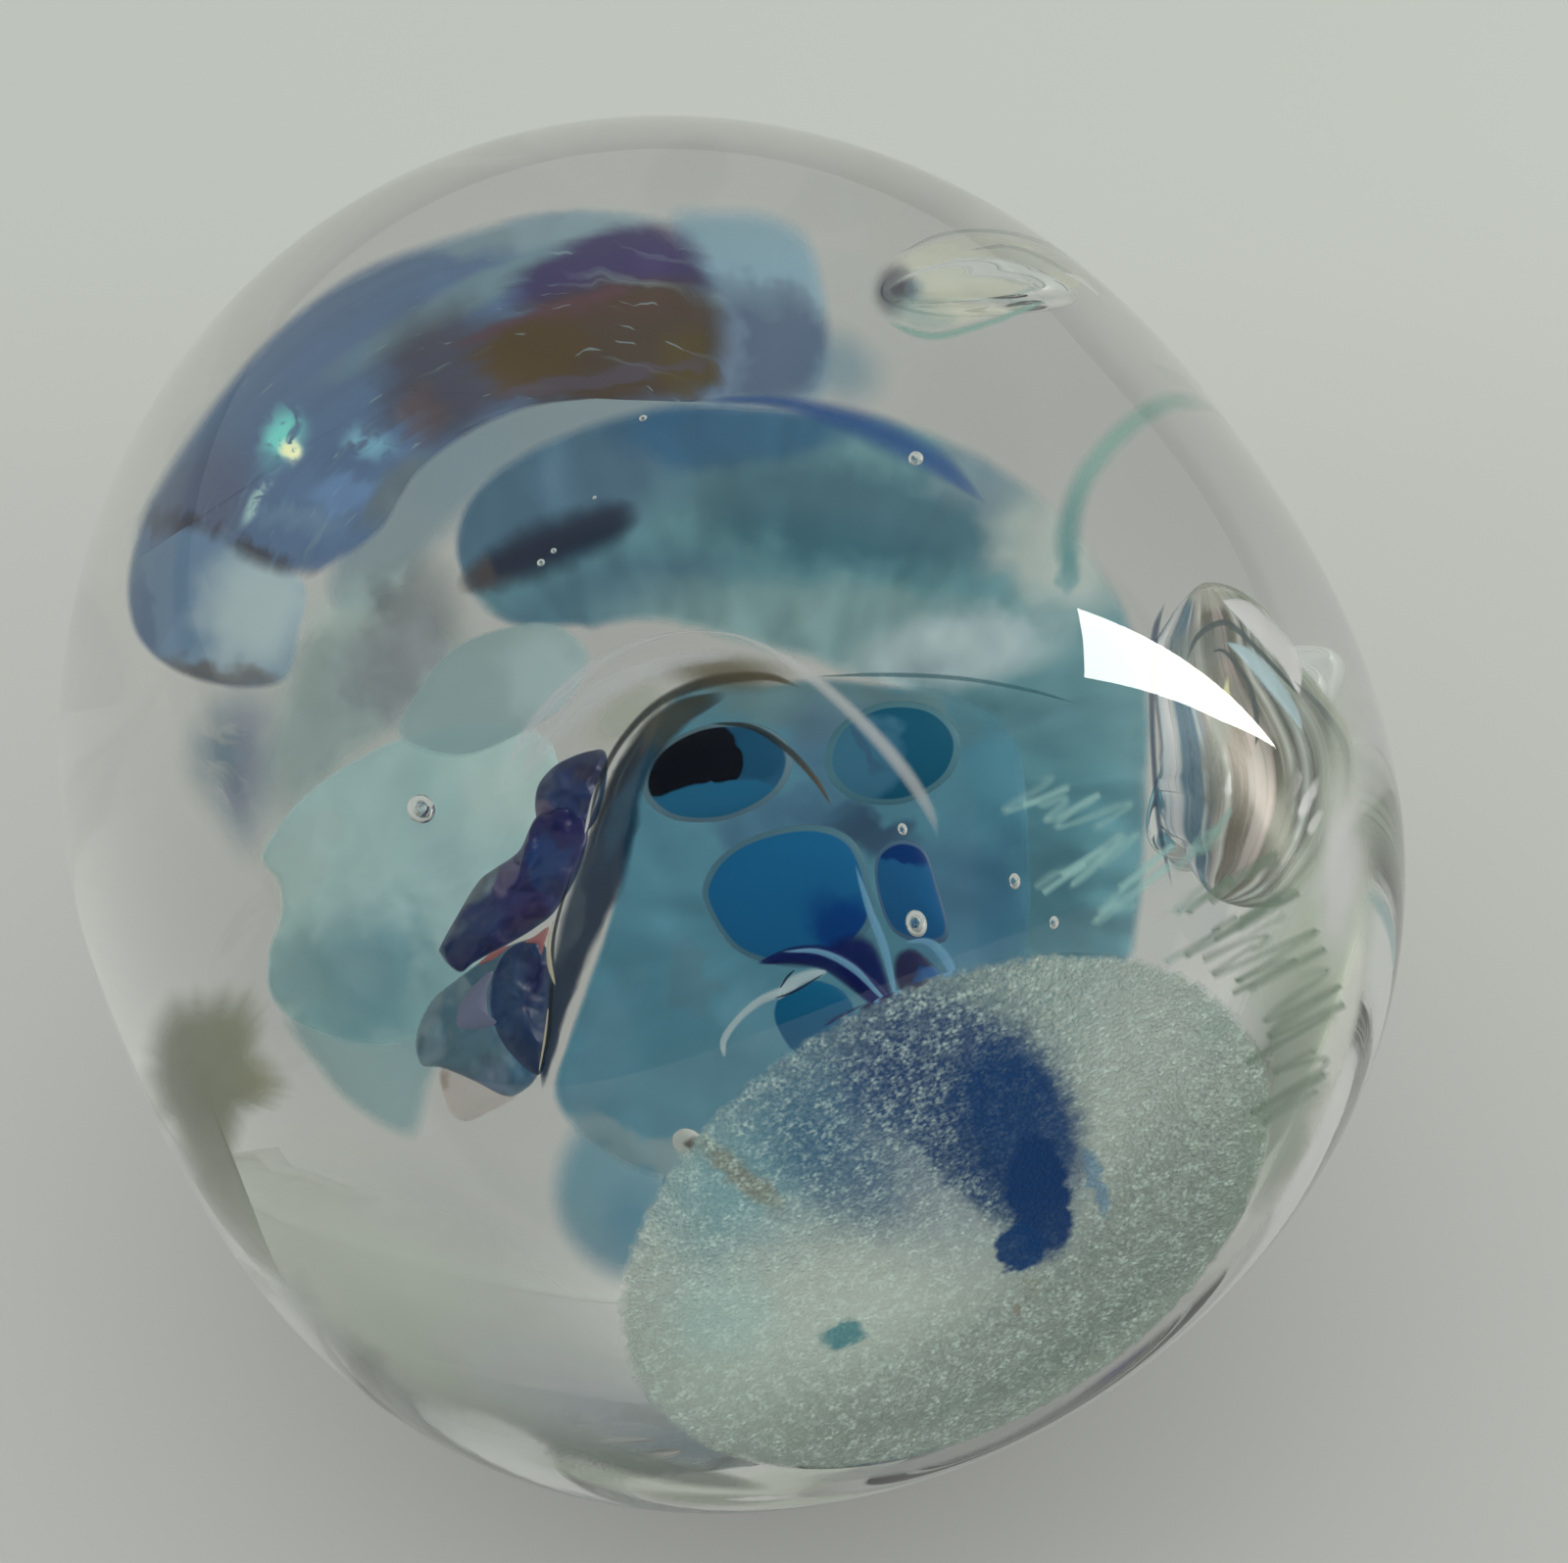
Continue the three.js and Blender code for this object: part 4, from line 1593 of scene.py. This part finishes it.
@dataclass
class Threads:
    """Loose threads and stains near the wall."""

    def pieces(self) -> list[Sealed]:
        """The threads and stains."""
        teal = Veil(lit(112, 150, 141), turn=lit(66, 118, 118), drift=(-1.0, 0.0), drift_span=(-0.2, 0.6),
            cover=0.8, fade=0.0)
        olive = Veil(lit(122, 126, 102), 0.9, 0.45,
            touches=dabs((170, 1150, 60, 60, (108, 113, 79), 0, 0.7, 1.2),
            (270, 1110, 24, 30, (130, 127, 95), 0, 0.8, 1.0)))
        sliver = Veil(lit(118, 132, 112), 0.75, 0.3)
        low = Veil(lit(150, 158, 142), 0.6, 0.3)
        speck = Veil(lit(176, 178, 168), 0.98, 0.9,
            touches=dabs((708, 1172, 11, 10, (82, 68, 54), 30, 0.95, 0.6)))
        rim_chip = Veil(lit(104, 140, 144), 0.7, 0.5)
        return [
            Ribbon("teal_arc_thread", ((1096, 604, 14), (1090, 560, 20), (1096, 516, 18), (1116, 474, 17),
                (1152, 434, 16), (1200, 410, 15), (1250, 420, 9)), Lie(0.62), teal, Slot.TURQUOISE, 0.3),
            Pool("olive_stain", Outline(((150, 1024), (192, 1000), (238, 996), (270, 1006), (276, 1062),
                (304, 1108), (286, 1134), (262, 1140), (246, 1180), (256, 1240), (300, 1350), (226, 1284),
                (172, 1190), (140, 1104)), (208, 1100), 9.0, 7.0), Lie(0.5), olive, Slot.CLEAR, 0.4),
            Ribbon("green_sliver", ((436, 1412, 8), (500, 1432, 14), (580, 1468, 17), (680, 1500, 16),
                (790, 1520, 9)), Lie(0.5), sliver, Slot.CLEAR, 0.3),
            Ribbon("low_green_edge", ((520, 1486, 4), (620, 1516, 8), (720, 1530, 9), (820, 1532, 7),
                (900, 1520, 3)), Lie(0.5), low, Slot.CLEAR, 0.2),
            Pool("white_speck", oval(702, 1166, 17, 14, 30), Lie(0.06), speck, Slot.CLEAR, 0.5, 48, 24),
            Pool("rim_chip", oval(1245, 1046, 15, 30, -10), Lie(0.12), rim_chip, Slot.TURQUOISE, 0.3),
        ]


@dataclass
class BehindTheBase:
    """What shows through the ground base."""

    def pieces(self) -> list[Sealed]:
        """The cobalt blot and the turquoise wash."""
        cobalt = Veil(lit(22, 56, 112), turn=lit(44, 62, 104), drift=(-1.0, -0.5), drift_span=(0.0, 1.0),
            cover=0.98, fade=0.7)
        wash = Veil(lit(84, 130, 142), 0.8, 0.2)
        return [
            Pool("turquoise_wash", Outline(((650, 1250), (700, 1160), (780, 1080), (880, 1040), (900, 1120),
                (860, 1200), (760, 1290), (690, 1330))), Lie(0.04), wash, Slot.TURQUOISE, 0.2),
            Pool("cobalt_blot", Outline(((846, 1086), (890, 1040), (980, 1020), (1046, 1050), (1084, 1100),
                (1108, 1180), (1088, 1262), (1040, 1290), (970, 1210), (900, 1168), (850, 1136)), (980, 1130),
                6.0, 4.0), Lie(0.02), cobalt, Slot.BLUE, 0.2),
        ]


@dataclass
class PaintedWallLight:
    """Painted light along the lower wall, at the lower left, at the right and along the rim: a pale glow with
    darker painted bands.
    """

    def pieces(self) -> list[Sealed]:
        """The painted light at the lower left and at the right, and along the rim."""
        # Pale painted light at the lower left, with darker painted bands.
        low = Veil(lit(180, 186, 171), 0.92, 0.1, cloudy=0.12, roughness=0.7, sway=10.0,
            touches=dabs((520, 1210, 110, 60, (166, 165, 158), 20, 0.8, 1.2),
            (640, 1450, 170, 44, (194, 200, 182), 24, 0.8, 1.2),
            (310, 1370, 170, 34, (137, 145, 132), 46, 0.8, 1.2),
            (620, 1518, 170, 16, (134, 146, 134), 12, 0.9, 1.0)))
        # Pale painted light at the right, with darker painted bands.
        side = Veil(lit(160, 168, 152), 0.93, 0.25, cloudy=0.05, roughness=0.7, sway=8.0,
            touches=dabs((1406, 1000, 20, 170, (140, 150, 138), 10, 0.8, 1.0),
            (1300, 1110, 44, 120, (126, 134, 122), 16, 0.75, 1.1),
            (1370, 880, 24, 90, (196, 202, 184), 4, 0.8, 1.2)))
        # Painted light along the rim.
        edge = Veil(lit(184, 191, 177), 0.92, 0.35, roughness=0.7,
            touches=dabs((1312, 1160, 24, 70, (128, 136, 124), 22, 0.8, 1.0)))
        return [
            Pool("low_haze", Outline(((168, 1150), (200, 1228), (240, 1290), (296, 1352), (366, 1412),
                (480, 1482), (600, 1520), (720, 1529), (860, 1520), (960, 1486), (880, 1440), (760, 1350),
                (660, 1250), (540, 1170), (400, 1120), (280, 1100), (200, 1110)), (400, 1380)), Lie(0.05),
                low, Slot.CLEAR, 0.2, 144, 36),
            Pool("side_haze", Outline(((1366, 640), (1392, 700), (1408, 780), (1415, 860), (1411, 940),
                (1396, 1020), (1371, 1100), (1337, 1180), (1292, 1256), (1240, 1312), (1236, 1250),
                (1258, 1160), (1250, 1060), (1246, 990), (1280, 920), (1318, 860), (1340, 800), (1350, 720)),
                (1362, 1000)), Lie(0.05), side, Slot.CLEAR, 0.2, 144, 36),
            Ribbon("rim_haze", ((800, 1512, 9), (870, 1505, 9), (938, 1493, 9), (1010, 1466, 11),
                (1071, 1432, 13), (1125, 1394, 13), (1172, 1357, 14), (1215, 1319, 14), (1254, 1278, 14),
                (1290, 1228, 15), (1322, 1168, 18), (1348, 1108, 18), (1370, 1046, 18), (1384, 985, 14),
                (1396, 920, 8)), Lie(0.04), edge, Slot.CLEAR, 0.1, 4.0, 24, 160),
        ]


@dataclass
class LongBubbles:
    """The two long bubbles at the right, with their streaked skins, which are painted reflections."""

    def right(self) -> list[Sealed]:
        """The large fluted bubble, as painted reflection: streaks, glints, a pale crescent and dark edges."""
        # Painted reflection in stripes, with painted glints among its touches.
        skin = PaintedReflection(((0.0, lit(44, 62, 74)), (0.02, lit(40, 58, 72)), (0.04, lit(150, 160, 164)), (0.10,
            lit(166, 166, 166)), (0.125, lit(150, 156, 156)), (0.15, lit(58, 88, 103)), (0.24,
            lit(54, 84, 100)), (0.26, lit(140, 150, 150)), (0.285, lit(60, 78, 90)), (0.32,
            lit(128, 122, 116)), (0.37, lit(160, 162, 155)), (0.395, lit(78, 72, 62)), (0.49,
            lit(76, 70, 58)), (0.515, lit(126, 117, 111)), (0.59, lit(130, 120, 114)), (0.615,
            lit(50, 48, 38)), (0.66, lit(84, 84, 68)), (0.69, lit(156, 160, 152)), (0.725, lit(46, 50, 42)),
            (0.765, lit(144, 152, 146)), (0.80, lit(48, 54, 44)), (0.85, lit(118, 126, 116)), (0.90,
            lit(58, 66, 56)), (0.94, lit(108, 118, 102)), (1.0, lit(140, 148, 134))),
            touches=dabs((1222, 664, 34, 26, (84, 92, 88), -40, 0.75, 0.8),
            (1250, 708, 34, 22, (78, 80, 70), 40, 0.7, 0.9), (1254, 704, 3, 12, (176, 172, 130), 0, 0.8, 1.0),
            (1232, 606, 30, 14, (142, 142, 132), 16, 0.8, 1.0),
            # Painted glints.
            (1322, 800, 5, 14, (252, 255, 252), 14, 1.0, 0.8),
            (1338, 812, 5, 20, (252, 255, 252), 24, 1.0, 0.8),
            (1253, 800, 2.5, 12, (250, 255, 255), 0, 1.0, 0.8),
            (1342, 838, 4, 12, (230, 236, 230), 20, 0.9, 0.8),
            (1309, 842, 13, 62, (66, 70, 56), 12, 0.9, 0.8), (1241, 768, 12, 64, (84, 88, 80), 0, 0.85, 0.9),
            (1288, 790, 10, 60, (116, 112, 106), 4, 0.8, 0.9)))
        pale = Veil(lit(200, 226, 230), 0.95, 0.5, cloudy=0.08, roughness=0.2,
            touches=dabs((1318, 690, 16, 16, (228, 238, 236), 0, 0.8, 1.0)))
        dull = Veil(lit(156, 178, 188), 0.85, 0.3, cloudy=0.08, roughness=0.2)
        dark = Veil(lit(58, 72, 74), 0.9, 0.35, roughness=0.2)
        navy = Veil(lit(34, 56, 78), 0.85, 0.2, roughness=0.2)
        return [
            Ribbon("long_bubble_skin", ((1228, 594, 30), (1234, 616, 44), (1239, 640, 60), (1242, 667, 67),
                (1251, 702, 77), (1267, 741, 92), (1279, 778, 103), (1280, 818, 101), (1270, 856, 89),
                (1262, 882, 72), (1250, 902, 54), (1240, 918, 40)), Lie(0.44), skin, Slot.AIR, 0.5, 4.0, 64,
                96),
            Ribbon("long_bubble_left_edge", ((1190, 612, 2), (1180, 640, 5), (1176, 680, 5), (1176, 740, 4),
                (1179, 800, 4), (1184, 850, 4), (1197, 912, 2)), Lie(0.42), navy, Slot.AIR, 0.2),
            Ribbon("long_bubble_crescent", ((1246, 612, 4), (1270, 624, 12), (1298, 652, 14), (1318, 680, 11),
                (1326, 712, 4)), Lie(0.42), pale, Slot.AIR, 0.2),
            Ribbon("long_bubble_inner_band", ((1250, 654, 3), (1272, 668, 9), (1296, 694, 11), (1318, 724, 7),
                (1330, 748, 3)), Lie(0.41), dull, Slot.AIR, 0.2),
            Ribbon("long_bubble_fold", ((1210, 676, 1.5), (1222, 650, 3.5), (1240, 637, 4), (1256, 638, 4),
                (1282, 662, 3), (1308, 690, 3), (1330, 716, 1.5)), Lie(0.40), dark, Slot.AIR, 0.15),
            Ribbon("long_bubble_second_fold", ((1236, 664, 1.5), (1252, 666, 2.5), (1276, 700, 3),
                (1284, 740, 3), (1282, 762, 1.5)), Lie(0.40), dark, Slot.AIR, 0.15),
            Ribbon("long_bubble_right_edge", ((1318, 694, 1.5), (1346, 722, 4), (1368, 756, 5),
                (1374, 790, 4), (1368, 826, 3), (1352, 852, 1.5)), Lie(0.41), dark, Slot.AIR, 0.15),
        ]

    def upper(self) -> list[Sealed]:
        """The smaller bubble near the top, whose look is painted: a pale reflection with painted shade at its
        left end, lines along it and a painted highlight.
        """
        # Painted reflection, with painted shade at the left end and painted light in its middle.
        cream = Veil(lit(178, 180, 162), 0.62, 0.8, sway=6.0,
            touches=dabs((912, 296, 22, 28, (70, 74, 80), 10, 0.97, 0.8),
            (940, 322, 34, 16, (120, 146, 140), 20, 0.8, 1.0),
            (968, 300, 28, 20, (196, 188, 162), 10, 0.9, 1.0),
            (1040, 262, 70, 10, (150, 154, 148), 12, 0.7, 1.0)))
        grey = Veil(lit(132, 138, 134), 0.75, 0.2)
        teal = Veil(lit(112, 148, 138), 0.8, 0.2)
        shine = Veil(lit(246, 246, 236), 0.97, 0.3)
        shade = Veil(lit(52, 56, 64), 0.8, 0.0)
        return [
            Pool("upper_bubble_shade", oval(911, 295, 26, 34, 12), Lie(0.40), shade, Slot.AIR, 0.2),
            Pool("upper_bubble_skin", Outline(((888, 306), (892, 282), (914, 262), (950, 244), (1004, 236),
                (1060, 244), (1100, 264), (1124, 290), (1090, 300), (1050, 316), (1000, 330), (950, 340),
                (910, 332)), (980, 288)), Lie(0.42), cream, Slot.AIR, 0.3),
            Ribbon("upper_bubble_top", ((914, 262, 1.5), (960, 240, 2.5), (1016, 236, 3), (1066, 248, 3),
                (1108, 272, 2)), Lie(0.40), grey, Slot.AIR, 0.2),
            Ribbon("upper_bubble_inner", ((986, 256, 1.5), (1030, 252, 3), (1070, 266, 3.5), (1102, 286, 2)),
                Lie(0.40), grey, Slot.AIR, 0.2),
            Ribbon("upper_bubble_foot", ((902, 326, 4), (950, 342, 6), (1006, 330, 5), (1052, 312, 4),
                (1094, 292, 2)), Lie(0.41), teal, Slot.AIR, 0.2),
            Ribbon("upper_bubble_shine", ((1086, 278, 1), (1104, 286, 3), (1124, 304, 1)), Lie(0.38), shine,
                Slot.AIR, 0.1),
        ]

    def pieces(self) -> list[Sealed]:
        """Both bubbles' skins and lines."""
        return [*self.right(), *self.upper()]


@dataclass
class Bubbles:
    """Trapped air: two long bubbles and a scatter of small ones."""

    small: Sequence[tuple[float, float, float, float]] = (
        (430, 825, 14, 0.40), (935, 943, 11, 0.36), (1035, 900, 6, 0.40), (1075, 942, 5, 0.40),
        (935, 468, 8, 0.45), (921, 847, 5, 0.36), (656, 426, 4, 0.45), (551, 574, 4, 0.45),
        (564, 562, 3, 0.45), (606, 508, 2, 0.4),
    )

    def ball(self, sight: Sightlines, name: str, at: tuple[float, float, float, float],
             material: bpy.types.Material) -> bpy.types.Object:
        """One small round bubble.

        Args:
            sight: The lines of sight.
            name: Its name.
            at: Its place in the picture, its radius there and its depth.
            material: Its finish.

        Returns:
            The bubble.
        """
        u, v, size, depth = at
        spots = sight.place(np.array([u, u + size]), np.array([v, v]), np.array([depth, depth]), np.zeros(2))
        radius = float(np.linalg.norm(spots[1] - spots[0]))
        deselect()
        bpy.ops.mesh.primitive_uv_sphere_add(segments=48, ring_count=24, radius=radius, location=spots[0])
        bpy.ops.object.transform_apply(location=True, rotation=True, scale=True)
        piece = bpy.context.object
        face_out(piece)
        return seat(piece, name, material)

    def long(self, sight: Sightlines, name: str, ends: Sequence[tuple[float, float, float]], radius: float,
             flutes: int, groove: float, material: bpy.types.Material) -> bpy.types.Object:
        """One long bubble with fluted sides.

        Args:
            sight: The lines of sight.
            name: Its name.
            ends: The places of its two ends: across, down and depth.
            radius: Its radius, in metres.
            flutes: How many flutes run along it.
            groove: How deep they are, as a share of the radius.
            material: Its finish.

        Returns:
            The bubble.
        """
        spots = sight.place(*(np.array([end[i] for end in ends], float) for i in range(3)), np.zeros(2))
        top, foot = Vector(spots[0]), Vector(spots[1])
        piece, ball = sphere(160, 80)
        angle = np.arctan2(ball[:, 1], ball[:, 0])
        out = np.hypot(ball[:, 0], ball[:, 1])
        twist = angle + 0.5 * ball[:, 2]
        fluted = (1 + groove * np.sin(flutes * twist) * out
                  + 0.5 * groove * np.sin((2 * flutes - 3) * twist + 1) * out)
        axis = (top - foot).normalized()
        side = axis.cross(Vector((0, 0, 1))).normalized()
        other = axis.cross(side)
        half = (top - foot).length / 2
        places = (np.array((top + foot) / 2) + np.outer(ball[:, 2] * half, axis)
                  + np.outer(ball[:, 0] * radius * fluted, side)
                  + np.outer(ball[:, 1] * radius * fluted, other))
        piece.data.vertices.foreach_set("co", places.astype(np.float32).ravel())
        piece.data.update()
        face_out(piece)
        return seat(piece, name, material)

    def build(self, sight: Sightlines) -> None:
        """Makes all the bubbles."""
        air = Air().material("trapped_air")
        for number, at in enumerate(self.small, 1):
            self.ball(sight, f"bubble_{number:02d}", at, air)
        self.long(sight, "long_bubble_right", ((1240, 700, 0.56), (1258, 868, 0.56)), 2.6 * MM, 9, 0.08, air)
        self.long(sight, "long_bubble_upper", ((905, 300, 0.42), (1095, 300, 0.42)), 2.2 * MM, 5, 0.06, air)


@dataclass
class Scratches:
    """The place of the scratched inscription: rows of shallow strokes on the wall that aren't letters."""

    finish: Veil = Veil(lit(114, 144, 140), 0.45, 0.0, roughness=0.7, touches=dabs(
        (1300, 1010, 110, 190, (82, 94, 80), 0, 0.95, 0.5),))
    width_px: float = 12.0
    lift: float = 0.03 * MM

    def rows(self) -> list[list[Pixel]]:
        """The strokes' places in the picture: slanting rows of rounded waves."""
        strokes = []
        for row, (start, end, count, reach, rise) in enumerate((
                ((1040, 802), (1140, 838), 5.0, 30, 14), ((1058, 902), (1150, 862), 5.0, 34, 26),
                ((1122, 944), (1184, 872), 3.0, 44, 36), ((1196, 876), (1254, 844), 4.0, 16, 24),
                ((1204, 926), (1290, 880), 5.0, 30, 20), ((1216, 964), (1322, 912), 6.0, 34, 20),
                ((1262, 956), (1306, 1002), 5.0, 42, 22), ((1312, 1010), (1324, 1066), 3.5, 48, 28),
                ((1318, 1078), (1318, 1140), 3.5, 34, 20))):
            line = []
            steps = round(count * 7)
            for step in range(steps + 1):
                share = step / steps
                uneven = share + 0.5 / count * noise.noise(Vector((row * 1.7, count * share * 1.1, 2.2)))
                wave = math.sin(math.tau * count * uneven)
                size = 0.8 + 1.1 * noise.noise(Vector((row * 3.1, count * share * 1.9, 0.4)))
                drift = 14 * noise.noise(Vector((row * 2.3, count * share * 1.4, 5.4)))
                slide = 12 * noise.noise(Vector((row * 4.7, count * share * 1.6, 8.8)))
                line.append((start[0] + (end[0] - start[0]) * share + wave * reach * size + drift,
                             start[1] + (end[1] - start[1]) * share - wave * rise * size + slide))
            strokes.append(line)
        return strokes

    def build(self, sight: Sightlines) -> None:
        """Makes the strokes as thin matt lines on the wall."""
        material = self.finish.material("scratched_strokes_finish")
        for number, line in enumerate(self.rows(), 1):
            spine = [(u, v, self.width_px / 2 * (0.8 + 0.4 * (step % 3) / 2))
                     for step, (u, v) in enumerate(line)]
            ribbon = Ribbon(f"scratched_row_{number}", spine, Lie(), self.finish, Slot.GROUND, 0.05, 8.0,
                            8, len(line) * 5, 1.5)
            piece = ribbon.on_wall(sight, self.lift)
            seat(piece, ribbon.name, material)


@dataclass
class Studio:
    """A plain pale floor and plain soft light."""

    floor_colour: Colour = srgb(190, 190, 187)
    far_colour: Colour = srgb(195, 198, 193)
    sky: Colour = (0.60, 0.62, 0.585)
    floor_size: float = 6.0
    flag_size: float = 1.7
    flag_cover: float = 0.92
    window_distance: float = 0.6

    def floor(self, portrait: Portrait) -> None:
        """The floor, with painted light: a little paler towards the back."""
        deselect()
        bpy.ops.mesh.primitive_grid_add(x_subdivisions=8, y_subdivisions=8, size=self.floor_size)
        piece = bpy.context.object
        piece.name = "studio_floor"
        tree = Tree("plain_pale_floor")
        x, y = tree.parts(tree.place(), "XY")
        back = x * -math.sin(portrait.azimuth) + y * math.cos(portrait.azimuth)
        # Painted light: paler floor colour towards the back.
        far = back.step(0.045, 0.12)
        colour = tree.mix(far, self.floor_colour, self.far_colour)
        piece.data.materials.append(tree.done(tree.shader({"Base Color": colour, "Roughness": 0.9})))

    def card(self, name: str, corners: Sequence[Vector], sockets: Mapping) -> None:
        """A card that only reflections see.

        Args:
            name: Its name.
            corners: Its four corners, in the order of a plane's vertices.
            sockets: Its shader's sockets.
        """
        deselect()
        bpy.ops.mesh.primitive_plane_add(size=1.0)
        piece = bpy.context.object
        piece.name = name
        for vertex, corner in zip(piece.data.vertices, corners):
            vertex.co = corner
        tree = Tree(name + "_finish")
        reach = (corners[3] - corners[0]).length / 2
        middle = sum(corners, Vector()) / 4
        if "Alpha" in sockets:
            local = tree.vector("SUBTRACT", tree.place(), tuple(middle))
            away = tree.node("ShaderNodeVectorMath", {"operation": "LENGTH"}, {0: local}, out="Value")
            sockets = {**sockets, "Alpha": away.step(0.72 * reach, 0.4 * reach) * sockets["Alpha"]}
        shader = tree.shader({"Roughness": 1.0, "Specular IOR Level": 0.0, **sockets})
        piece.data.materials.append(tree.done(shader))
        piece.visible_camera = piece.visible_diffuse = False
        piece.visible_transmission = piece.visible_shadow = False

    def softbox(self, name: str, place: Vector, target: Vector, size: Pixel, power: float,
                colour: Colour) -> bpy.types.Object:
        """One rectangular soft light.

        Args:
            name: Its name.
            place: Where it hangs.
            target: What it faces.
            size: Its width and height, in metres.
            power: Its power, in watts.
            colour: Its colour.

        Returns:
            The light.
        """
        data = bpy.data.lights.new(name, "AREA")
        data.shape = "RECTANGLE"
        data.size, data.size_y = size
        data.energy = power
        data.color = colour
        light = bpy.data.objects.new(name, data)
        light.location = place
        light.rotation_euler = (place - target).to_track_quat("Z", "Y").to_euler()
        bpy.context.collection.objects.link(light)
        return light

    def build(self, portrait: Portrait, form: BodyForm) -> None:
        """Makes the floor and the lights and sets the picture's tones.

        Args:
            portrait: The camera, which the lights are placed round.
            form: The body that they light.
        """
        self.floor(portrait)
        _, right, up, back = portrait.stand(form)
        middle = form.ring

        def towards(across: float, above: float, behind: float) -> Vector:
            """A way from the middle, in the camera's directions."""
            return (right * across + up * above + back * behind).normalized()

        window = ((0.811, 0.384, 0.441), (0.974, 0.218, 0.055), (0.749, 0.593, 0.295), (0.977, 0.143, -0.158))
        self.card("window_card", [middle + towards(*way) * self.window_distance for way in window],
                  {"Base Color": (0.0, 0.0, 0.0), "Emission Color": (1.0, 0.975, 0.91),
                   "Emission Strength": 19.0})
        half = self.flag_size / 2
        self.card("dark_flag", [middle + back * 0.3 + right * (x * half) + up * (y * half)
                                for x, y in ((-1, -1), (1, -1), (-1, 1), (1, 1))],
                  {"Base Color": (0.01, 0.012, 0.015), "Alpha": self.flag_cover})
        front = Vector((math.sin(portrait.azimuth), -math.cos(portrait.azimuth), math.tan(math.radians(14))))
        for name, place, size, power, colour in (
                ("window_light", middle + towards(0.921, 0.351, 0.166) * self.window_distance,
                 (0.42, 0.2), 1.6, (1.0, 0.985, 0.95)),
                ("top_light", middle + Vector((-0.15, 0.25, 0.9)), (1.2, 0.9), 3.0, (0.98, 1.0, 0.97)),
                ("left_fill", middle - right * 0.7 + up * 0.3 + back * 0.1,
                 (0.5, 0.5), 0.9, (0.95, 1.0, 1.0)),
                ("front_fill", middle + front.normalized() * 0.7, (0.7, 0.6), 1.7, (0.93, 1.0, 1.07))):
            light = self.softbox(name, place, middle, size, power, colour)
            light.visible_glossy = light.visible_transmission = False
        world = bpy.data.worlds.new("soft_sky")
        bpy.context.scene.world = world
        world.use_nodes = True
        ground = world.node_tree.nodes["Background"]
        ground.inputs["Color"].default_value = (*self.sky, 1.0)
        ground.inputs["Strength"].default_value = 0.8
        scene = bpy.context.scene
        scene.view_settings.view_transform = "Standard"
        scene.cycles.max_bounces = 14
        scene.cycles.transmission_bounces = 12
        scene.cycles.transparent_max_bounces = 40
        scene.cycles.diffuse_bounces = 3
        scene.cycles.glossy_bounces = 6
        scene.cycles.blur_glossy = 0.6
        scene.cycles.caustics_reflective = scene.cycles.caustics_refractive = False


def main() -> None:
    """Builds the paperweight and its studio."""
    logging.basicConfig(level=logging.INFO, format="%(name)s: %(message)s")
    form = BodyForm()
    portrait = Portrait()
    portrait.build(form)
    Studio().build(portrait, form)
    sight = Sightlines(portrait, form)
    GlassBody(form, sight).build()
    groups = (BlueVeils(), Windows(), Swirl(), Petals(), FoilBand(), Crumple(), Dome(), Threads(),
              BehindTheBase(), PaintedWallLight(), LongBubbles())
    for group in groups:
        for piece in group.pieces():
            piece.build(sight)
    Bubbles().build(sight)
    Scratches().build(sight)


if __name__ == "__main__":
    main()
